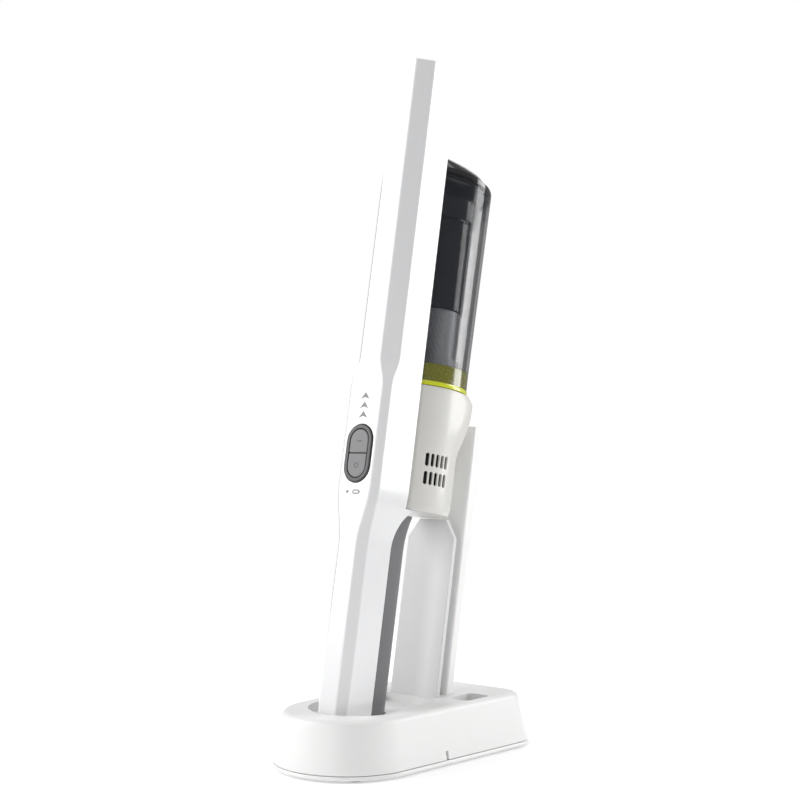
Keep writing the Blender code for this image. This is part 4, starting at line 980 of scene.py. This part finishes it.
@dataclass
class Spine:
    """The white bar from handle to nozzle, with what is in it."""

    edge: float = 0.35 * MM
    small_edge: float = 0.25 * MM
    cell_edge: float = 0.8 * MM
    screw: SocketScrew = field(
        default_factory=lambda: SocketScrew(2.6 * MM, 0.6 * MM, 1.3 * MM, 9.8 * MM, 0.45 * MM))

    def build(self) -> None:
        """Builds every piece of the spine and the handle."""
        Casting("front_shell", WHITE_GLOSS, self.edge, 2).build()
        Casting("nozzle_back_plate", WHITE_GLOSS, self.small_edge).build()
        Casting("suction_duct", BLACK_SATIN, self.small_edge).build()
        Casting("handle_end_cap", WHITE_GLOSS, self.small_edge).build()
        Casting("handle_grip", GRIP, self.small_edge).build()
        for number in (1, 2):
            self._grip_screw(f"grip_screw_{number}")
        for side in ("left", "right"):
            dress(f"charge_contact_{side}", GOLD)
        for number in (1, 2):
            Casting(f"battery_cell_{number}", CELL_WRAP, self.cell_edge, 3).build()
        dress("control_board", BOARD)

    def _grip_screw(self, node: str) -> None:
        """Builds one screw at the back of the grip with a real recess.

        Args:
            node: The screw's node.
        """
        low, high = LEAN.bounds(node)
        middle = (low + high) / 2
        seat = LEAN.matrix() @ Vector((middle.x, high.y - self.screw.head_height, middle.z))
        piece = self.screw.build(f"{node}_turned", seat, LEAN.inward, STEEL)
        install(piece, [node])


class Mark(Enum):
    """The signs printed by the buttons."""

    ARROW = "arrow"
    LAMP = "lamp"
    BATTERY = "battery"
    BATTERY_TIP = "battery_tip"
    DASH = "dash"
    RING = "ring"


@dataclass
class Controls:
    """The two buttons, their bezel and switches, and the signs printed round them."""

    crown: float = 0.55 * MM
    bezel_edge: float = 0.3 * MM
    print_depth: float = 0.05 * MM
    print_thickness: float = 0.10 * MM
    arrow_width: float = 7.0 * MM
    arrow_height: float = 4.4 * MM
    arrow_pitch: float = 5.9 * MM
    arrow_gap: float = 4.6 * MM
    arrow_notch: float = 0.45
    sign_drop: float = 4.2 * MM
    lamp_across: float = -5.2 * MM
    battery_across: float = 1.6 * MM
    tip_across: float = 4.6 * MM
    lamp: Size = (2.0 * MM, 2.0 * MM)
    dash: Size = (3.6 * MM, 0.9 * MM)
    tip: Size = (0.6 * MM, 1.2 * MM)
    battery: tuple[Size, Size] = ((5.6 * MM, 2.8 * MM), (4.0 * MM, 1.2 * MM))
    ring: tuple[Size, Size] = ((3.6 * MM, 3.6 * MM), (2.4 * MM, 2.4 * MM))

    def build(self) -> None:
        """Builds the buttons, the bezel and the printed signs."""
        Casting("button_bezel", BEZEL_GREY, self.bezel_edge, 3).build()
        for name in ("power", "mode"):
            Casting(f"{name}_button", BUTTON_GREY, self.crown, 3).build()
            dress(f"{name}_switch", BLACK_SATIN)
        low, high = LEAN.bounds("button_bezel")
        for number in range(3):
            middle = high.z + self.arrow_gap + self.arrow_pitch * number
            self._print(Mark.ARROW, f"direction_arrow_{number + 1}", (0.0, middle), 0.0, "vacuum")
        below = low.z - self.sign_drop
        self._print(Mark.LAMP, "charge_lamp", (self.lamp_across, below), 0.0, "vacuum")
        self._print(Mark.BATTERY, "battery_sign", (self.battery_across, below), 0.0, "vacuum")
        self._print(Mark.BATTERY_TIP, "battery_sign_tip", (self.tip_across, below), 0.0, "vacuum")
        for node, mark in (("power_button", Mark.DASH), ("mode_button", Mark.RING)):
            first, last = LEAN.bounds(node)
            centre = (0.0, (first.z + last.z) / 2)
            self._print(mark, f"{node}_sign", centre, first.y, body_of(node))

    def _print(self, mark: Mark, name: str, centre: tuple[float, float], face: float, body: str) -> None:
        """Prints one sign on a face that looks forwards.

        Args:
            mark: Which sign.
            name: The piece's name.
            centre: Its middle as across and height.
            face: Depth of the face that it lies on.
            body: The body that it rides on.
        """
        outer, inner = self._outline(mark, centre)
        depth = face + self.print_depth
        plate = outline_plate(outer, depth, self.print_depth + self.print_thickness, inner)
        finish = MARK_LIGHT if mark in (Mark.DASH, Mark.RING) else MARK_GREY
        slot = "button_grey" if finish is MARK_LIGHT else "bezel_grey"
        install(new_piece(name, plate, finish), [], body, slot)

    def _outline(self, mark: Mark, centre: tuple[float, float]) -> tuple[list, list]:
        """Outer and inner outline of a sign.

        Args:
            mark: Which sign.
            centre: Its middle.

        Returns:
            The outer outline, and the inner one where the sign is a frame.
        """
        x, z = centre
        if mark is Mark.ARROW:
            half, tall = self.arrow_width / 2, self.arrow_height / 2
            notch = (x, z - tall * self.arrow_notch)
            return [(x - half, z - tall), notch, (x + half, z - tall), (x, z + tall)], []
        if mark is Mark.BATTERY:
            outer, inner = self.battery
            return slot_outline(*outer, centre), slot_outline(*inner, centre)
        if mark is Mark.RING:
            outer, inner = self.ring
            return slot_outline(*outer, centre, 24), slot_outline(*inner, centre, 24)
        sizes = {Mark.LAMP: self.lamp, Mark.BATTERY_TIP: self.tip, Mark.DASH: self.dash}
        return slot_outline(*sizes[mark], centre, 12), []


@dataclass
class MotorUnit:
    """The ivory housing with its vents, the release button, motor and impeller."""

    edge: float = 0.3 * MM
    button_edge: float = 0.5 * MM
    motor_edge: float = 0.4 * MM
    blade_edge: float = 0.12 * MM

    def build(self) -> None:
        """Builds every piece of the motor unit."""
        Casting("motor_housing", IVORY_SATIN, self.edge, 2).build()
        Casting("cup_release_button", LIGHT_GREY, self.button_edge, 3).build()
        # The motor is painted near black, as shade for the vents to show.
        Casting("motor", VENT_SHADE_MOTOR_STEEL, self.motor_edge).build()
        Casting("motor_mount_ring", RUBBER, self.edge).build()
        dress("motor_shaft", TURNED_STEEL)
        Casting("impeller", BLACK_SATIN, self.blade_edge, 1).build()


@dataclass
class DustCup:
    """The smoked cup on its yellow collar, with the filters and the core in it."""

    edge: float = 0.3 * MM
    bead_height: float = 2.6 * MM
    core_edge: float = 0.4 * MM
    pin_edge: float = 0.25 * MM

    def build(self) -> None:
        """Builds every piece of the cup."""
        # The cup's blue tint is partly painted reflection: on top of the plastic's own dark smoke, it stands in
        # for the blue-grey reflection band along the cup.
        smoked = ClearMoulding("smoked_plastic_painted_blue_reflection", (0.010, 0.014, 0.026), (0.002, 0.002, 0.003), 0.22)
        Casting("dust_cup", smoked, self.edge, 2).build()
        # Above its foot bead the collar is painted dark olive, a shaded copy of its own lime: painted shade. The
        # bead keeps the plain lime.
        foot = LEAN.bounds("filter_collar")[0].z + self.bead_height
        lime = ClearMoulding("lime_plastic_painted_shade", (0.16, 0.16, 0.004), (0.10, 0.10, 0.003), 0.80, 0.12,
                             0.02, (0.74, 0.80, 0.004), LEAN.turned_height(foot))
        Casting("filter_collar", lime, self.edge, 2).build()
        Casting("pleated_filter", PAPER, 0.0).build()
        Casting("mesh_filter", MESH_STEEL, self.edge).build()
        Casting("cyclone_core", BLACK_GLOSS, self.core_edge, 3).build()
        Casting("intake_hood", BLACK_GLOSS, self.edge).build()
        Casting("door_hinge_pin", TURNED_STEEL, self.pin_edge).build()
        dress("intake_flap", RUBBER)


@dataclass
class CupDoor:
    """The black door with its seal and latch."""

    edge: float = 0.5 * MM

    def build(self) -> None:
        """Builds the door, its seal and its latch."""
        Casting("cup_door", BLACK_GLOSS, self.edge, 3).build()
        Casting("door_latch", BEZEL_GREY, self.edge, 3).build()
        dress("door_seal", RUBBER)


# ---------------------------------------------------------------- studio


@dataclass(frozen=True)
class FloorFinish(Finish):
    """A pale matt floor that fades out into the backdrop."""

    colour: Colour = (0.88, 0.88, 0.88)
    fade_start: float = 0.35
    fade_end: float = 1.1
    glow: float = 0.24

    def build(self, graph: Graph) -> bpy.types.Material:
        """Builds the floor's nodes."""
        where = graph.place()
        settings = {"operation": "LENGTH"}
        distance = graph.add("ShaderNodeVectorMath", settings, {0: where}, "Value")
        middle, width = (self.fade_start + self.fade_end) / 2, self.fade_end - self.fade_start
        faded = distance.above(middle, width)
        fine = graph.noise(where, 900.0, 2.0)
        tone = graph.blend(fine, shift(self.colour, -0.01), shift(self.colour, 0.01))
        diffuse = graph.node("ShaderNodeBsdfDiffuse", None, {"Color": tone, "Roughness": 0.6})
        glow = graph.node("ShaderNodeEmission", None, {"Strength": self.glow})
        lit = graph.node("ShaderNodeAddShader", None,
                         {0: Signal(graph, diffuse.outputs[0]), 1: Signal(graph, glow.outputs[0])})
        clear = graph.node("ShaderNodeBsdfTransparent")
        mixed = graph.add("ShaderNodeMixShader", None,
                          {0: faded, 1: Signal(graph, lit.outputs[0]), 2: Signal(graph, clear.outputs[0])})
        graph.node("ShaderNodeOutputMaterial", None, {"Surface": mixed})
        return graph.material


@dataclass
class SoftBox:
    """One large rectangular lamp."""

    name: str
    azimuth: float
    elevation: float
    distance: float
    width: float
    height: float
    power: float

    def build(self, target: Vector) -> None:
        """Hangs the lamp and aims it.

        Args:
            target: The point that it faces.
        """
        light = bpy.data.lights.new(self.name, "AREA")
        light.shape, light.energy = "RECTANGLE", self.power
        light.size, light.size_y = self.width, self.height
        lamp = bpy.data.objects.new(self.name, light)
        bpy.context.scene.collection.objects.link(lamp)
        turn, rise = math.radians(self.azimuth), math.radians(self.elevation)
        away = Vector((math.sin(turn) * math.cos(rise), -math.cos(turn) * math.cos(rise), math.sin(rise)))
        lamp.location = target + away * self.distance
        lamp.rotation_mode = "QUATERNION"
        lamp.rotation_quaternion = (-away).to_track_quat("-Z", "Y")
        lamp.visible_camera = False


@dataclass
class Studio:
    """Floor, backdrop, lamps and camera."""

    backdrop_seen: float = 1.0
    backdrop_light: float = 0.31
    camera_place: tuple[float, float, float] = (0.5748, -0.6784, 0.1949)
    camera_azimuth: float = 40.0
    camera_rise: float = 1.66
    lens: float = 63.8
    floor_radius: float = 1.3
    lamps: tuple[SoftBox, ...] = (
        SoftBox("left_softbox", -48.0, 22.0, 1.1, 0.8, 0.8, 9.6),
        SoftBox("right_softbox", 138.0, 18.0, 1.1, 0.5, 0.9, 8.6),
        SoftBox("top_softbox", 40.0, 78.0, 1.2, 0.8, 0.8, 3.0),
        SoftBox("rear_softbox", 215.0, 35.0, 1.3, 0.8, 0.8, 4.0),
        SoftBox("strip_softbox", 10.0, 8.0, 1.3, 0.28, 1.1, 3.2),
    )

    def build(self) -> None:
        """Sets up the studio."""
        bpy.context.scene.view_settings.view_transform = "Standard"
        self._floor()
        self._backdrop()
        for lamp in self.lamps:
            lamp.build(Vector((0.0, 0.0, 0.21)))
        self._camera()

    def _floor(self) -> None:
        """Lays the floor."""
        shape = bmesh.new()
        bmesh.ops.create_circle(shape, cap_ends=True, segments=128, radius=self.floor_radius)
        floor = new_piece("studio_floor", shape, FloorFinish("pale_floor"))

    def _backdrop(self) -> None:
        """Makes the world a plain white backdrop that lights the object softly."""
        world = bpy.data.worlds.new("white_backdrop")
        bpy.context.scene.world = world
        world.use_nodes = True
        nodes, links = world.node_tree.nodes, world.node_tree.links
        shader = nodes["Background"]
        shader.inputs["Color"].default_value = (1.0, 1.0, 1.0, 1.0)
        path = nodes.new("ShaderNodeLightPath")
        strength = nodes.new("ShaderNodeMapRange")
        strength.inputs[3].default_value = self.backdrop_light
        strength.inputs[4].default_value = self.backdrop_seen
        links.new(path.outputs["Is Camera Ray"], strength.inputs[0])
        links.new(strength.outputs[0], shader.inputs["Strength"])

    def _camera(self) -> None:
        """Sets the camera up at the viewing angle."""
        data = bpy.data.cameras.new("view_camera")
        data.lens, data.sensor_width, data.clip_start = self.lens, 36.0, 0.01
        camera = bpy.data.objects.new("view_camera", data)
        bpy.context.scene.collection.objects.link(camera)
        turn, rise = math.radians(self.camera_azimuth), math.radians(self.camera_rise)
        ahead = Vector((-math.sin(turn) * math.cos(rise), math.cos(turn) * math.cos(rise), math.sin(rise)))
        camera.location = self.camera_place
        camera.rotation_mode = "QUATERNION"
        camera.rotation_quaternion = ahead.to_track_quat("-Z", "Y")
        bpy.context.scene.camera = camera


def main() -> None:
    """Builds the sub-assemblies in order and then the studio round them."""
    logging.basicConfig(level=logging.INFO, format="%(message)s")
    for part in (Dock(), CreviceTool(), Spine(), Controls(), MotorUnit(), DustCup(), CupDoor(), Studio()):
        LOG.info("building %s", type(part).__name__)
        part.build()


if __name__ == "__main__":
    main()
